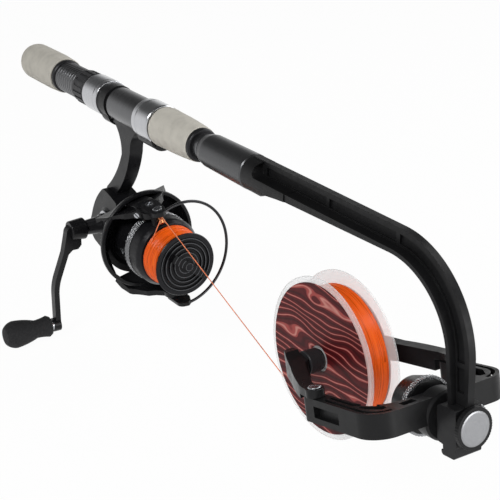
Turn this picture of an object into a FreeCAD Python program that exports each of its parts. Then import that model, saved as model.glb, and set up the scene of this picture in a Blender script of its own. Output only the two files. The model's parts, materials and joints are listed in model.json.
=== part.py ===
"""Hand-held fishing line winder: rod handle with a spinning reel in its seat, a curved arm, and a
fork that holds a filler spool on two sprung levers.

The handle runs along +X, +Z is up and the reel's crank is on the -Y side. The origin is on the
handle's axis at the middle of the butt grip. All lengths are millimetres.
"""
import FreeCAD, Part
import math
import os

import Sketcher
from FreeCAD import Placement, Rotation, Vector

# Driving dimensions: word, value, what it measures.
DIMENSIONS = [
    ("gripMiddle", 31.0, "butt end to the middle of the butt grip"),
    ("gripLength", 66.0, "butt grip length"),
    ("gripRadius", 14.75, "butt grip radius where it is held"),
    ("gripMouth", 14.0, "butt grip radius at its front"),
    ("collarLength", 4.0, "butt collar length"),
    ("collarRadius", 13.2, "butt collar radius"),
    ("coreRadius", 8.0, "rod tube outside radius"),
    ("coreWall", 1.6, "rod tube wall"),
    ("coreEnd", 330.0, "rod tube end station"),
    ("slipGap", 0.02, "gap between pieces glued on one another"),
    ("runGap", 0.05, "radial clearance of a running fit"),
    ("bodyGap", 0.3, "gap between pieces that move past each other"),
    ("seatRadius", 11.5, "reel seat tube radius"),
    ("seatStart", 70.2, "reel seat tube start station"),
    ("seatEnd", 229.0, "reel seat tube end station"),
    ("threadRadius", 12.1, "crest radius of the seat thread"),
    ("threadPitch", 4.0, "seat thread pitch"),
    ("nutStart", 104.3, "lock nut start station"),
    ("nutLength", 19.4, "lock nut length"),
    ("nutRadius", 13.5, "lock nut rib radius"),
    ("barrelStart", 124.0, "sliding hood barrel start station"),
    ("barrelLength", 24.0, "sliding hood barrel length"),
    ("barrelRadius", 14.1, "sliding hood barrel radius"),
    ("hoodLength", 11.5, "sliding hood lip length"),
    ("hoodRadius", 13.0, "sliding hood lip radius above the foot"),
    ("bulgeRadius", 9.6, "radius of the hood's bulge over the foot"),
    ("bulgeDrop", 7.8, "drop of the bulge's axis below the handle's"),
    ("fixedStart", 206.0, "fixed hood start station"),
    ("fixedLength", 22.5, "fixed hood length"),
    ("fixedRadius", 14.7, "fixed hood ring radius"),
    ("footDrop", 10.05, "drop of the reel foot's top face"),
    ("footThick", 3.0, "reel foot thickness"),
    ("footHalf", 6.8, "half of the reel foot's width"),
    ("footStart", 150.5, "reel foot rear station"),
    ("footEnd", 219.0, "reel foot front station"),
    ("foregripEnd", 279.0, "foregrip end station"),
    ("sleeveStart", 289.5, "sleeve start station"),
    ("sleeveEnd", 346.0, "sleeve end station"),
    ("sleeveRadius", 11.6, "sleeve radius"),
    ("armTop", 12.0, "height of the arm's outer edge above the handle's axis"),
    ("gutterStart", 357.0, "station where the arm's side gutters start"),
    ("bendStart", 490.0, "station where the arm starts to bend"),
    ("outerBend", 60.3, "bend radius of the arm's outer edge"),
    ("innerBend", 47.5, "bend radius of the arm's inner face"),
    ("plateThick", 2.6, "thickness of the arm's wide plate after the bend"),
    ("plateWide", 22.4, "width of the arm's plate at the sleeve"),
    ("plateNarrow", 10.4, "width of the arm's plate at its foot"),
    ("webWidth", 4.65, "width of the arm's outer rib"),
    ("webWall", 1.6, "wall left between the arm's side pockets"),
    ("webLip", 3.4, "height of the arm's outer rib above the side pockets"),
    ("ribWidth", 2.6, "width of the cross ribs between the side pockets"),
    ("hubStation", 553.8, "station of the lock knob's back face"),
    ("hubDrop", 78.0, "drop of the fork's turning axis there"),
    ("hubTilt", 7.5, "rise of the fork's turning axis in degrees"),
    ("blockTop", 10.9, "top of the end block above the turning axis"),
    ("blockBase", 11.0, "base of the end block below the turning axis"),
    ("blockFront", 2.5, "end block front face behind the knob"),
    ("blockBack", 17.0, "end block back face behind the knob"),
    ("blockWidth", 18.0, "end block width"),
    ("spigotRadius", 6.5, "fork spigot radius"),
    ("stemRadius", 3.0, "lock knob stem radius"),
    ("knobRadius", 12.0, "lock knob radius"),
    ("discRadius", 9.9, "lock knob cap radius"),
    ("bossRadius", 14.4, "fork hub boss radius"),
    ("bandRadius", 17.2, "tension wheel's silver band radius"),
    ("spoolStation", 434.0, "station of the filler spool's centre"),
    ("spoolDrop", 88.7, "drop of the filler spool's centre"),
    ("forkTilt", 15.3, "rise of the fork's arms in degrees"),
    ("forkInner", 38.0, "inner face of a fork arm from the middle"),
    ("forkOuter", 48.0, "outer face of a fork arm from the middle"),
    ("forkTop", -6.5, "top of the fork from the spool's axis"),
    ("forkHeight", 14.0, "height of the fork arms"),
    ("forkFront", 99.0, "cross member's front face from the spool's axis"),
    ("forkBar", 11.0, "cross member thickness"),
    ("armTip", 33.0, "tip of the right fork arm from the spool's axis"),
    ("pivotReach", 42.5, "right lever's pivot from the spool's axis"),
    ("farShift", 14.5, "how much shorter the left fork arm is, and how much longer its lever"),
    ("pivotSide", 44.0, "lever pivot from the middle"),
    ("pinRadius", 2.0, "lever pin radius"),
    ("leverHub", 5.4, "lever hub radius"),
    ("coneRadius", 7.3, "lever cone drum radius"),
    ("coneBack", 21.5, "back face of a cone from the middle"),
    ("axleRadius", 1.75, "cone axle radius"),
    ("fillerRadius", 50.0, "filler spool flange radius"),
    ("fillerWidth", 20.6, "filler spool width"),
    ("flangeThick", 1.6, "filler spool flange thickness"),
    ("fillerHub", 22.0, "filler spool hub radius"),
    ("fillerBore", 6.0, "filler spool bore radius"),
    ("labelRadius", 46.4, "filler label radius"),
    ("labelThick", 0.4, "filler label thickness"),
    ("windingRadius", 42.2, "radius of the line wound on the filler spool"),
    ("reelDrop", 95.8, "drop of the reel's axis"),
    ("crankStation", 154.0, "station of the crank's axis"),
    ("crankThrow", 75.0, "crank axis to knob axis"),
    ("rotorStart", 180.0, "rotor rear face station"),
    ("rotorRadius", 38.3, "rotor rim radius"),
    ("rimStation", 200.0, "front of the rotor's rim"),
    ("rotorPhase", 14.9, "turn of the rotor's arms from upright in degrees"),
    ("upperReach", 34.7, "outer face of the rotor arm under the line roller's lever"),
    ("lowerReach", 38.7, "outer face of the other rotor arm"),
    ("bailStation", 222.0, "bail pivot station"),
    ("bailThick", 3.4, "thickness of the bail's two levers"),
    ("rollerStation", 234.0, "line roller station"),
    ("rollerRadius", 3.2, "line roller radius"),
    ("wireRadius", 1.1, "bail wire radius"),
    ("shaftRadius", 2.5, "reel main shaft radius"),
    ("reelLip", 23.8, "reel spool front lip radius"),
    ("lipStation", 256.6, "reel spool front lip station"),
    ("lineRadius", 0.35, "radius of the line"),
]

DOCUMENT = FreeCAD.newDocument("LineWinder")
SHEET = DOCUMENT.addObject("Spreadsheet::Sheet", "Sizes")
NODES = {}


class Size:
    """A number that remembers the sheet expression it was worked out from."""

    def __init__(self, value, text):
        self.value = float(value)
        self.text = text

    def __add__(self, other):
        other = sized(other)
        return Size(self.value + other.value, f"({self.text} + {other.text})")

    def __sub__(self, other):
        other = sized(other)
        return Size(self.value - other.value, f"({self.text} - {other.text})")

    def __mul__(self, other):
        other = sized(other)
        return Size(self.value * other.value, f"({self.text} * {other.text})")

    def __truediv__(self, other):
        other = sized(other)
        return Size(self.value / other.value, f"({self.text} / {other.text})")

    def __neg__(self):
        return Size(-self.value, f"(0 - {self.text})")

    def __radd__(self, other):
        return sized(other) + self

    def __rsub__(self, other):
        return sized(other) - self

    def __rmul__(self, other):
        return sized(other) * self


def sized(number):
    return number if isinstance(number, Size) else Size(number, f"({float(number)})")


def number(length):
    return sized(length).value


def sine(angle):
    return Size(math.sin(math.radians(number(angle))), f"sin({sized(angle).text})")


def cosine(angle):
    return Size(math.cos(math.radians(number(angle))), f"cos({sized(angle).text})")


class Dimensions:
    """The sheet's words as attributes, each a Size bound to its cell."""

    def __init__(self, rows):
        for row, (word, value, meaning) in enumerate(rows, start=1):
            SHEET.set(f"A{row}", meaning)
            SHEET.set(f"B{row}", str(value))
            SHEET.setAlias(f"B{row}", word)
            setattr(self, word, Size(value, f"Sizes.{word}"))


d = Dimensions(DIMENSIONS)
DOCUMENT.recompute()

# ---------------------------------------------------------------- frames

TO_FAR = Rotation(Vector(0, 0, 1), 90)      # local X points to +Y
TO_NEAR = Rotation(Vector(0, 0, 1), -90)    # local X points to -Y
TO_TOP = Rotation(Vector(0, 1, 0), -90)     # local X points to +Z


def frame_at(parent, along=0, side=0, height=0, turn=None):
    place = Vector(number(along), number(side), number(height))
    return parent.multiply(Placement(place, turn or Rotation()))


def tilted(degrees):
    """A turn that lifts local X by this many degrees."""
    return Rotation(Vector(0, 1, 0), -number(degrees))


HANDLE = frame_at(Placement(), -d.gripMiddle)
HUB = frame_at(HANDLE, d.hubStation, 0, -d.hubDrop, tilted(d.hubTilt))
FORK = frame_at(HANDLE, d.spoolStation, 0, -d.spoolDrop, tilted(d.forkTilt))
REEL = frame_at(HANDLE, 0, 0, -d.reelDrop)
ROTOR = frame_at(REEL, 0, 0, 0, Rotation(Vector(1, 0, 0), number(d.rotorPhase)))
CRANK = frame_at(REEL, d.crankStation)

# ---------------------------------------------------------------- building blocks


def drive(item, name, length):
    """Bind one property to its sheet expression, or set it if it depends on no cell."""
    if isinstance(length, Size):
        item.setExpression(name, length.text)
    else:
        setattr(item, name, length)


def arc_between(start, end, radius):
    """The short arc from start to end: a positive radius turns left, a negative one right."""
    chord = end - start
    rise = math.sqrt(max(radius * radius - chord.Length ** 2 / 4, 0))
    left = Vector(-chord.y, chord.x, 0).normalize()
    centre = (start + end) / 2 + left * (rise if radius > 0 else -rise)
    first, last = (start, end) if radius > 0 else (end, start)
    angles = [math.atan2(point.y - centre.y, point.x - centre.x) for point in (first, last)]
    circle = Part.Circle(centre, Vector(0, 0, 1), abs(radius))
    return Part.ArcOfCircle(circle, angles[0], angles[1])


def draw_loop(sketch, corners):
    """Draw one closed loop. A corner is (x, y), or (x, y, radius) where an arc leads to it."""
    points = [Vector(number(corner[0]), number(corner[1]), 0) for corner in corners]
    edges = []
    for index, corner in enumerate(corners):
        start, end = points[index - 1], points[index]
        if len(corner) == 3:
            radius = number(corner[2])
            edge = sketch.addGeometry(arc_between(start, end, radius))
            bound_constraint(sketch, ("Radius", edge), abs(radius), corner[2], radius < 0)
            edges.append((edge, 1, 2) if radius > 0 else (edge, 2, 1))
        else:
            edge = sketch.addGeometry(Part.LineSegment(start, end))
            edges.append((edge, 1, 2))
    for index, corner in enumerate(corners):
        edge, _, last = edges[index]
        following, first, _ = edges[(index + 1) % len(edges)]
        sketch.addConstraint(Sketcher.Constraint("Coincident", edge, last, following, first))
        for kind, place in (("DistanceX", corner[0]), ("DistanceY", corner[1])):
            bound_constraint(sketch, (kind, -1, 1, edge, last), number(place), place, False)


def bound_constraint(sketch, target, value, length, flipped):
    index = sketch.addConstraint(Sketcher.Constraint(*target, value))
    if isinstance(length, Size):
        text = f"0 - {length.text}" if flipped else length.text
        sketch.setExpression(f"Constraints[{index}]", text)


def add_sketch(body, plane, loops, offset=0):
    sketch = body.newObject("Sketcher::SketchObject", body.Name + "Outline")
    role = next(item for item in body.Origin.OriginFeatures if item.Role == plane)
    sketch.AttachmentSupport = [(role, "")]
    sketch.MapMode = "FlatFace"
    if number(offset):
        sketch.AttachmentOffset = Placement(Vector(0, 0, number(offset)), Rotation())
        if isinstance(offset, Size):
            sketch.setExpression("AttachmentOffset.Base.z", offset.text)
    for corners in loops:
        draw_loop(sketch, corners)
    return sketch


def add_body(name, frame):
    body = DOCUMENT.addObject("PartDesign::Body", name)
    body.Placement = frame
    return body


def turned(name, frame, corners):
    """A body turned about its frame's X axis from a profile of (station, radius) corners."""
    body = add_body(name, frame)
    sketch = add_sketch(body, "XY_Plane", [corners])
    turning = body.newObject("PartDesign::Revolution", name + "Turning")
    turning.Profile = sketch
    turning.ReferenceAxis = (sketch, ["H_Axis"])
    turning.Angle = 360
    return body


def padded(name, frame, plane, loops, length, offset=0, middle=True):
    """A body padded from outlines, both ways from the plane or one way from an offset."""
    body = add_body(name, frame)
    sketch = add_sketch(body, plane, loops, offset)
    pad = body.newObject("PartDesign::Pad", name + "Pad")
    pad.Profile = sketch
    pad.SideType = "Symmetric" if middle else "One side"
    drive(pad, "Length", length)
    return body


def add_pad(body, plane, loops, length):
    """One more pad on a body, both ways from the plane."""
    sketch = add_sketch(body, plane, loops)
    pad = body.newObject("PartDesign::Pad", body.Name + "MorePad")
    pad.Profile = sketch
    pad.SideType = "Symmetric"
    drive(pad, "Length", length)


def add_slots(body, width, depth_radius, start, length, count):
    """Lengthwise slots cut into a turned body from outside, repeated round its X axis."""
    sketch = add_sketch(body, "XY_Plane", [slab_loop(start, depth_radius, start + length,
                                                     depth_radius + 5)])
    slot = body.newObject("PartDesign::Pocket", body.Name + "Slot")
    slot.Profile = sketch
    slot.SideType = "Symmetric"
    slot.Length = width
    DOCUMENT.recompute()
    pattern = body.newObject("PartDesign::PolarPattern", body.Name + "Slots")
    pattern.Originals = [slot]
    pattern.Axis = (sketch, ["H_Axis"])
    pattern.Angle = 360
    pattern.Occurrences = count
    body.Tip = pattern


def slab_loop(left, low, right, high):
    return [(left, low), (right, low), (right, high), (left, high)]


def cylinder(name, frame, radius, start, length):
    """A rod along its frame's X axis."""
    rod = DOCUMENT.addObject("Part::Cylinder", name)
    drive(rod, "Radius", radius)
    drive(rod, "Height", length)
    rod.Placement = frame_at(frame, start, 0, 0, Rotation(Vector(0, 1, 0), 90))
    return rod


def box(name, frame, low, size):
    """A box from its low corner."""
    brick = DOCUMENT.addObject("Part::Box", name)
    for side, length in zip(("Length", "Width", "Height"), size):
        drive(brick, side, length)
    brick.Placement = frame_at(frame, *low)
    return brick


def fused(name, items):
    union = DOCUMENT.addObject("Part::MultiFuse", name)
    union.Shapes = items
    union.Refine = True
    return union


def cut(name, base, tool):
    difference = DOCUMENT.addObject("Part::Cut", name)
    difference.Base = base
    difference.Tool = tool
    difference.Refine = True
    return difference


def overlap(name, items):
    common = DOCUMENT.addObject("Part::MultiCommon", name)
    common.Shapes = items
    common.Refine = True
    return common


def knurled(name, frame, radius, depth, count, start, length):
    """A short rod along X whose rim has ridges."""
    corners = []
    for step in range(2 * count):
        reach = number(radius) - (depth if step % 2 else 0)
        angle = math.pi * step / count
        corners.append(Vector(0, reach * math.cos(angle), reach * math.sin(angle)))
    face = Part.Face(Part.makePolygon(corners + corners[:1]))
    rod = DOCUMENT.addObject("Part::Feature", name)
    rod.Shape = face.extrude(Vector(number(length), 0, 0))
    rod.Placement = frame_at(frame, start)
    return rod


def keep(node, item):
    """Name a finished sub-part; its label is its file's name."""
    item.Label = node
    NODES[node] = item


def mirrored(corners, side):
    """The same outline on the +Y (side 1) or -Y (side -1) half."""
    return [(corner[0], corner[1] * side) + tuple(radius * side for radius in corner[2:])
            for corner in corners]


# ---------------------------------------------------------------- handle


def make_grips():
    bore = d.coreRadius + d.slipGap
    butt = [(0, 0), (5, 0), (5, bore), (d.gripLength, bore), (d.gripLength, d.gripMouth),
            (d.gripMiddle + 19, d.gripRadius), (12, d.gripRadius), (0, 8.5, 13)]
    keep("butt_grip", turned("ButtGrip", HANDLE, butt))
    collar_end = d.gripLength + d.collarLength
    collar = [(d.gripLength, bore), (collar_end, bore), (collar_end, d.collarRadius - 1),
              (collar_end - 1, d.collarRadius), (d.gripLength, d.collarRadius)]
    keep("butt_collar", turned("ButtCollar", HANDLE, collar))
    foregrip = [(d.seatEnd, bore), (d.foregripEnd, bore), (d.foregripEnd, 12.2),
                (d.seatEnd + 17, 13.9, 400), (d.seatEnd + 3, 14.3), (d.seatEnd, 12.6, 4)]
    keep("foregrip", turned("Foregrip", HANDLE, foregrip))
    ring_end = d.foregripEnd + 3.5
    ring = [(d.foregripEnd, bore), (ring_end, bore), (ring_end, 10.6), (ring_end - 1, 11.6),
            (d.foregripEnd, 11.8)]
    keep("foregrip_collar", turned("ForegripCollar", HANDLE, ring))


def make_core():
    inside = d.coreRadius - d.coreWall
    core = [(5, inside), (d.coreEnd, inside), (d.coreEnd, d.coreRadius), (5, d.coreRadius)]
    keep("core_tube", turned("CoreTube", HANDLE, core))
    bore = d.coreRadius + d.slipGap
    start = d.foregripEnd + 3.5
    ferrule = [(start, bore), (d.sleeveStart, bore), (d.sleeveStart, 9.4), (d.sleeveStart - 2, 9.4),
               (d.sleeveStart - 2.6, 8.8), (start, 8.8)]
    keep("ferrule", turned("Ferrule", HANDLE, ferrule))
    sleeve = [(d.sleeveStart, bore), (d.coreEnd, bore), (d.coreEnd, 0), (d.sleeveEnd, 0),
              (d.sleeveEnd, d.sleeveRadius - 0.6), (d.sleeveEnd - 1, d.sleeveRadius + 0.2),
              (d.sleeveStart + 7, d.sleeveRadius - 0.2), (d.sleeveStart + 2, 10.5),
              (d.sleeveStart, 9.9)]
    keep("sleeve", turned("Sleeve", HANDLE, sleeve))


def thread_corners():
    """The seat thread's crests as rings, from the front of the tube back to its start."""
    crest = d.threadRadius
    rings = 13
    corners = []
    for ring in reversed(range(rings)):
        start = d.seatStart + 0.6 + d.threadPitch * ring
        corners += [(start + 2.9, d.seatRadius), (start + 2.2, crest), (start + 0.6, crest),
                    (start, d.seatRadius)]
    return corners


def make_seat():
    bore = d.coreRadius + d.slipGap
    step = d.fixedStart - 43
    profile = [(d.seatStart, bore), (d.seatEnd, bore), (d.seatEnd, d.seatRadius),
               (d.fixedStart, d.seatRadius), (d.fixedStart, d.seatRadius + 0.9),
               (step, d.seatRadius + 0.9), (step - 1.5, d.seatRadius)]
    tube = turned("SeatTube", HANDLE, profile + thread_corners() + [(d.seatStart, d.seatRadius)])
    bed_start = d.barrelStart + d.barrelLength - 2
    bed = box("FootBed", HANDLE, (bed_start, -15, -d.footDrop - 10),
              (d.footEnd + 1 - bed_start, 30, 10))
    keep("seat_tube", cut("SeatWithBed", tube, bed))


def make_lock_nut():
    bore = d.threadRadius + d.runGap
    end = d.nutStart + d.nutLength
    rim = d.nutRadius - 0.5
    profile = [(d.nutStart, bore), (end, bore), (end, rim), (end - 2.5, rim), (end - 3, d.nutRadius),
               (d.nutStart + 3, d.nutRadius), (d.nutStart + 2.5, rim), (d.nutStart, rim)]
    nut = turned("LockNut", HANDLE, profile)
    add_slots(nut, 1.7, d.nutRadius - 0.9, d.nutStart + 2.6, d.nutLength - 5.2, 18)
    keep("lock_nut", nut)


def hood_shell(name, start, length, ring_radius, drop, bulge, bore):
    """A hood: a ring on the seat tube with a bulge below that holds an end of the reel foot."""
    ring = cylinder(name + "Ring", HANDLE, ring_radius, start, length)
    swell = cylinder(name + "Swell", frame_at(HANDLE, 0, 0, -drop), bulge, start, length)
    hole = cylinder(name + "Hole", HANDLE, bore, start - 1, length + 2)
    room = box(name + "Room", HANDLE,
               (start - 1, -d.footHalf - d.bodyGap, -d.footDrop - d.footThick - d.bodyGap - 0.8),
               (length + 2, d.footHalf * 2 + d.bodyGap * 2, d.footThick + 6))
    whole = fused(name + "Whole", [ring, swell])
    return cut(name + "Shell", whole, fused(name + "Void", [hole, room]))


def make_sliding_hood():
    bore = d.seatRadius + d.runGap
    end = d.barrelStart + d.barrelLength
    guide, wide_bore = d.barrelStart + 13, d.threadRadius + d.runGap
    barrel = [(d.barrelStart, wide_bore), (guide, wide_bore), (guide, bore), (end, bore),
              (end, d.barrelRadius - 0.3), (end - 0.4, d.barrelRadius), (end - 5, d.barrelRadius),
              (end - 5.5, d.barrelRadius - 0.4), (end - 6, d.barrelRadius),
              (d.barrelStart + 0.8, d.barrelRadius),
              (d.barrelStart, d.barrelRadius - 0.8)]
    keep("hood_barrel", turned("HoodBarrel", HANDLE, barrel))
    keep("sliding_hood", hood_shell("SlidingHood", end, d.hoodLength, d.hoodRadius, d.bulgeDrop,
                                    d.bulgeRadius, bore))


def make_fixed_hood():
    bore = d.seatRadius + d.slipGap
    skirt = hood_shell("FixedHood", d.fixedStart, d.fixedLength - 0.4, 12.6, 8.6, 10.2, bore)
    keep("fixed_hood", skirt)
    end = d.fixedStart + d.fixedLength
    inner = 12.6 + d.slipGap
    ring = [(d.fixedStart, inner), (end, inner), (end, d.fixedRadius - 0.8),
            (end - 0.8, d.fixedRadius), (d.fixedStart + 6, d.fixedRadius),
            (d.fixedStart + 5.5, d.fixedRadius - 0.4), (d.fixedStart + 5, d.fixedRadius),
            (d.fixedStart, d.fixedRadius - 0.3)]
    hoop = turned("FixedRing", HANDLE, ring)
    opening = cylinder("RingOpening", frame_at(HANDLE, 0, 0, -8.6), 10.2 + d.slipGap,
                       d.fixedStart - 1, d.fixedLength + 2)
    keep("fixed_hood_ring", cut("FixedRingCut", hoop, opening))


# ---------------------------------------------------------------- arm and end block


def bend_point(radius):
    """The end of the arm's bend at this radius, in the handle's plane."""
    turn = 90 - d.hubTilt
    return (d.bendStart + radius * sine(turn), bend_height() + radius * cosine(turn))


def bend_height():
    return d.armTop - d.outerBend


def hub_point(along, height):
    """A point of the end block's own frame, in the handle's plane."""
    lean, rise = sine(d.hubTilt), cosine(d.hubTilt)
    return (d.hubStation + along * rise - height * lean,
            along * lean + height * rise - d.hubDrop)


def web_loop():
    foot_outer, foot_inner = hub_point(-0.8, d.blockTop), hub_point(-11.9, d.blockTop)
    floor = bend_height() + d.innerBend
    return [(d.sleeveEnd + 0.6, d.armTop - 0.5), (d.sleeveEnd + 0.6, floor), (d.bendStart, floor),
            bend_point(d.innerBend) + (-d.innerBend,), foot_inner, foot_outer,
            bend_point(d.outerBend), (d.bendStart, d.armTop, d.outerBend),
            (d.sleeveEnd + 1.2, d.armTop)]


def straight_pocket(start, end):
    top = d.armTop - d.webLip
    return slab_loop(start, 3.0, end, top)


def bend_pocket():
    """The pocket that follows the bend and ends at the rib above the arm's foot."""
    top = d.outerBend - d.webLip
    low = d.outerBend - 9
    outer_end, inner_end = bend_point(top), bend_point(low)
    return [(d.bendStart + 0.5, bend_height() + low), inner_end + (-low,),
            (inner_end[0] + 0.3, inner_end[1] - 3.0), (outer_end[0] + 0.3, outer_end[1] - 3.0),
            outer_end, (d.bendStart + 0.5, bend_height() + top, top)]


def foot_pocket():
    return [hub_point(-8.4, 32.0), hub_point(-8.4, 18.0), hub_point(-3.4, 18.0),
            hub_point(-2.6, 32.0)]


def plate_loop():
    """The wide inner plate seen from the side, thick at the sleeve and thin after the bend."""
    top = d.innerBend + d.plateThick
    foot_outer = hub_point(-11.9 + d.plateThick, d.blockTop)
    return [(d.gutterStart - 2, 2.7), (d.gutterStart - 2, -9.0), (d.gutterStart + 5, -8.2),
            (374, -4.6, -60), (395, -2.4), (d.bendStart, bend_height() + d.innerBend),
            bend_point(d.innerBend) + (-d.innerBend,), hub_point(-11.9, d.blockTop), foot_outer,
            bend_point(top), (d.bendStart, bend_height() + top, top)]


def make_arm():
    ribs = (426.0, 488.5)
    web = padded("ArmWeb", HANDLE, "XZ_Plane", [web_loop()], d.webWall)
    half_rib = d.ribWidth / 2
    pockets = [straight_pocket(363.0, ribs[0] - half_rib),
               straight_pocket(ribs[0] + half_rib, ribs[1] - half_rib), bend_pocket(), foot_pocket()]
    add_pad(web, "XZ_Plane", [web_loop()] + pockets, d.webWidth)
    plate = padded("ArmPlate", HANDLE, "XZ_Plane", [plate_loop()], d.plateWide)
    taper = DOCUMENT.addObject("Part::Wedge", "ArmTaper")
    length = 190
    for name, value in (("Xmin", -d.plateWide / 2), ("Xmax", d.plateWide / 2),
                        ("X2min", -d.plateNarrow / 2), ("X2max", d.plateNarrow / 2)):
        drive(taper, name, value)
    taper.Ymin, taper.Ymax = 0, length
    taper.Zmin, taper.Z2min, taper.Zmax, taper.Z2max = -130, -130, 130, 130
    down_forward = Rotation(Vector(0, -1, 0), Vector(1, 0, -1), Vector(1, 0, 1), "ZXY")
    taper.Placement = frame_at(HANDLE, d.gutterStart + 20, 0, 0, down_forward)
    root = cylinder("ArmCollar", HANDLE, d.sleeveRadius, d.sleeveEnd + 0.6, 48)
    slope = padded("ArmCollarSide", HANDLE, "XZ_Plane", [[
        (d.sleeveEnd + 0.6, -12.5), (358, -12.5), (358, -11.3), (375, -4.4), (394, -2.4), (394, 2.7),
        (d.gutterStart + 4.6, 2.7), (d.gutterStart + 0.6, 7.4, -5), (d.gutterStart + 5, 12.5, -6),
        (d.sleeveEnd + 0.6, 12.5)]], 26)
    neck = cylinder("ArmNeck", HANDLE, d.sleeveRadius - 0.9, d.sleeveEnd, 1)
    keep("arm", fused("Arm", [web, overlap("TaperedPlate", [plate, taper]),
                              overlap("RoundRoot", [root, slope]), neck]))


def make_end_block():
    front, back = -d.blockFront, -d.blockBack
    outline = [(back, -d.blockBase + 2), (back + 2, -d.blockBase, 2), (front - 1, -d.blockBase),
               (front, -d.blockBase + 1, 1), (front, d.blockTop - 1), (front - 1, d.blockTop, 1),
               (back + 3, d.blockTop), (back, d.blockTop - 3, 3)]
    block = padded("BlockBody", HUB, "XZ_Plane", [outline], d.blockWidth)
    lug = [(-14, -d.blockBase - 4.5), (-12, -d.blockBase - 6.3, 2), (-5, -d.blockBase - 6.3),
           (-3, -d.blockBase - 4.5, 2), (-3, -d.blockBase + 1), (-14, -d.blockBase + 1)]
    foot = padded("BlockLug", HUB, "XZ_Plane", [lug], d.blockWidth)
    boss = cylinder("BlockBoss", HUB, 8, front - 1, 2.7)
    solid = fused("BlockSolid", [block, foot, boss])
    spigot_hole = cylinder("SpigotHole", HUB, d.spigotRadius + d.runGap, back - 1, d.blockBack - 5)
    stem_hole = cylinder("StemHole", HUB, d.stemRadius + d.runGap, -8, 9)
    button_hole = cylinder("ButtonHole", frame_at(HUB, -8.5, 0, 0, TO_TOP), 3.0 + d.runGap,
                           -d.blockBase - 8, 11)
    side_hole = cylinder("SideHole", frame_at(HUB, -10.5, 0, -1, TO_FAR), 2.5 + d.runGap, 5, 6)
    notch = box("LugNotch", HUB, (-15, -10, -d.blockBase - 3.5), (2.2, 20, 3.2))
    holes = fused("BlockHoles", [spigot_hole, stem_hole, button_hole, side_hole, notch])
    keep("end_block", cut("BlockCut", solid, holes))


def make_block_controls():
    button = [(-d.blockBase - 7.6, 0), (-d.blockBase - 7.6, 2.2), (-d.blockBase - 6.8, 3.0),
              (-d.blockBase + 1.2, 3.0), (-d.blockBase + 1.2, 0)]
    keep("detent_button", turned("DetentButton", frame_at(HUB, -8.5, 0, 0, TO_TOP), button))
    far = frame_at(HUB, -10.5, 0, -1, TO_FAR)
    rim = knurled("SideRim", far, 6.6, 0.45, 26, d.blockWidth / 2 + 0.6, 6.2)
    stem = cylinder("SideStem", far, 2.5, 6.9, 4)
    keep("side_wheel", fused("SideWheel", [rim, stem]))


def make_lock_knob():
    rim = knurled("KnobRim", HUB, d.knobRadius, 0.25, 48, -0.5, 2.9)
    recess = cylinder("KnobRecess", HUB, d.discRadius + d.slipGap, 1.6, 3)
    stem = cylinder("KnobStem", HUB, d.stemRadius, -13, 13.5)
    keep("knob_ring", fused("KnobRing", [cut("KnobCup", rim, recess), stem]))
    cap = [(1.6, 0), (2.8, 0), (2.8, d.discRadius - 1.2), (2.4, d.discRadius), (1.6, d.discRadius)]
    keep("knob_disc", turned("KnobDisc", HUB, cap))


# ---------------------------------------------------------------- fork


def fork_plan():
    """The fork seen from above: two arms with round tips and a cross member."""
    inner, outer = d.forkInner, d.forkOuter
    cap = (outer - inner) / 2
    near, far = d.armTip, d.armTip + d.farShift
    front, back = d.forkFront, d.forkFront - d.forkBar
    corner, hollow = 15, 18
    return [(front - corner, -outer), (front, -outer + corner, corner), (front, outer - corner),
            (front - corner, outer, corner), (far + cap, outer), (far, outer - cap, cap),
            (far + cap, inner, cap), (back - hollow, inner), (back, inner - hollow, -hollow),
            (back, -inner + hollow), (back - hollow, -inner, -hollow), (near + cap, -inner),
            (near, -inner - cap, cap), (near + cap, -outer, cap)]


def fork_pockets(side):
    """The two long channels that follow one fork arm, and the rib pockets in its corner."""
    inner, outer = d.forkInner, d.forkOuter
    start = 52 if side < 0 else 66
    outer_channel = mirrored([(start, outer - 2.0), (start, outer - 4.4), (83, outer - 4.4),
                              (94.6, 33, -11.4), (97, 33), (83, outer - 2.0, 13.8)], side)
    inner_channel = mirrored([(start, inner + 4.0), (start, inner + 1.6), (71, inner + 1.6),
                              (84, inner - 6), (86.5, inner - 5), (73, inner + 4.0)], side)
    corner = mirrored([(77, inner + 3.2), (88, inner - 6), (91, inner - 5.4), (92, inner - 2),
                       (84, inner + 3.2)], side)
    slot = mirrored([(91, 16), (96, 16), (96, 25), (91, 25)], side)
    return [outer_channel, inner_channel, corner, slot]


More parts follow.
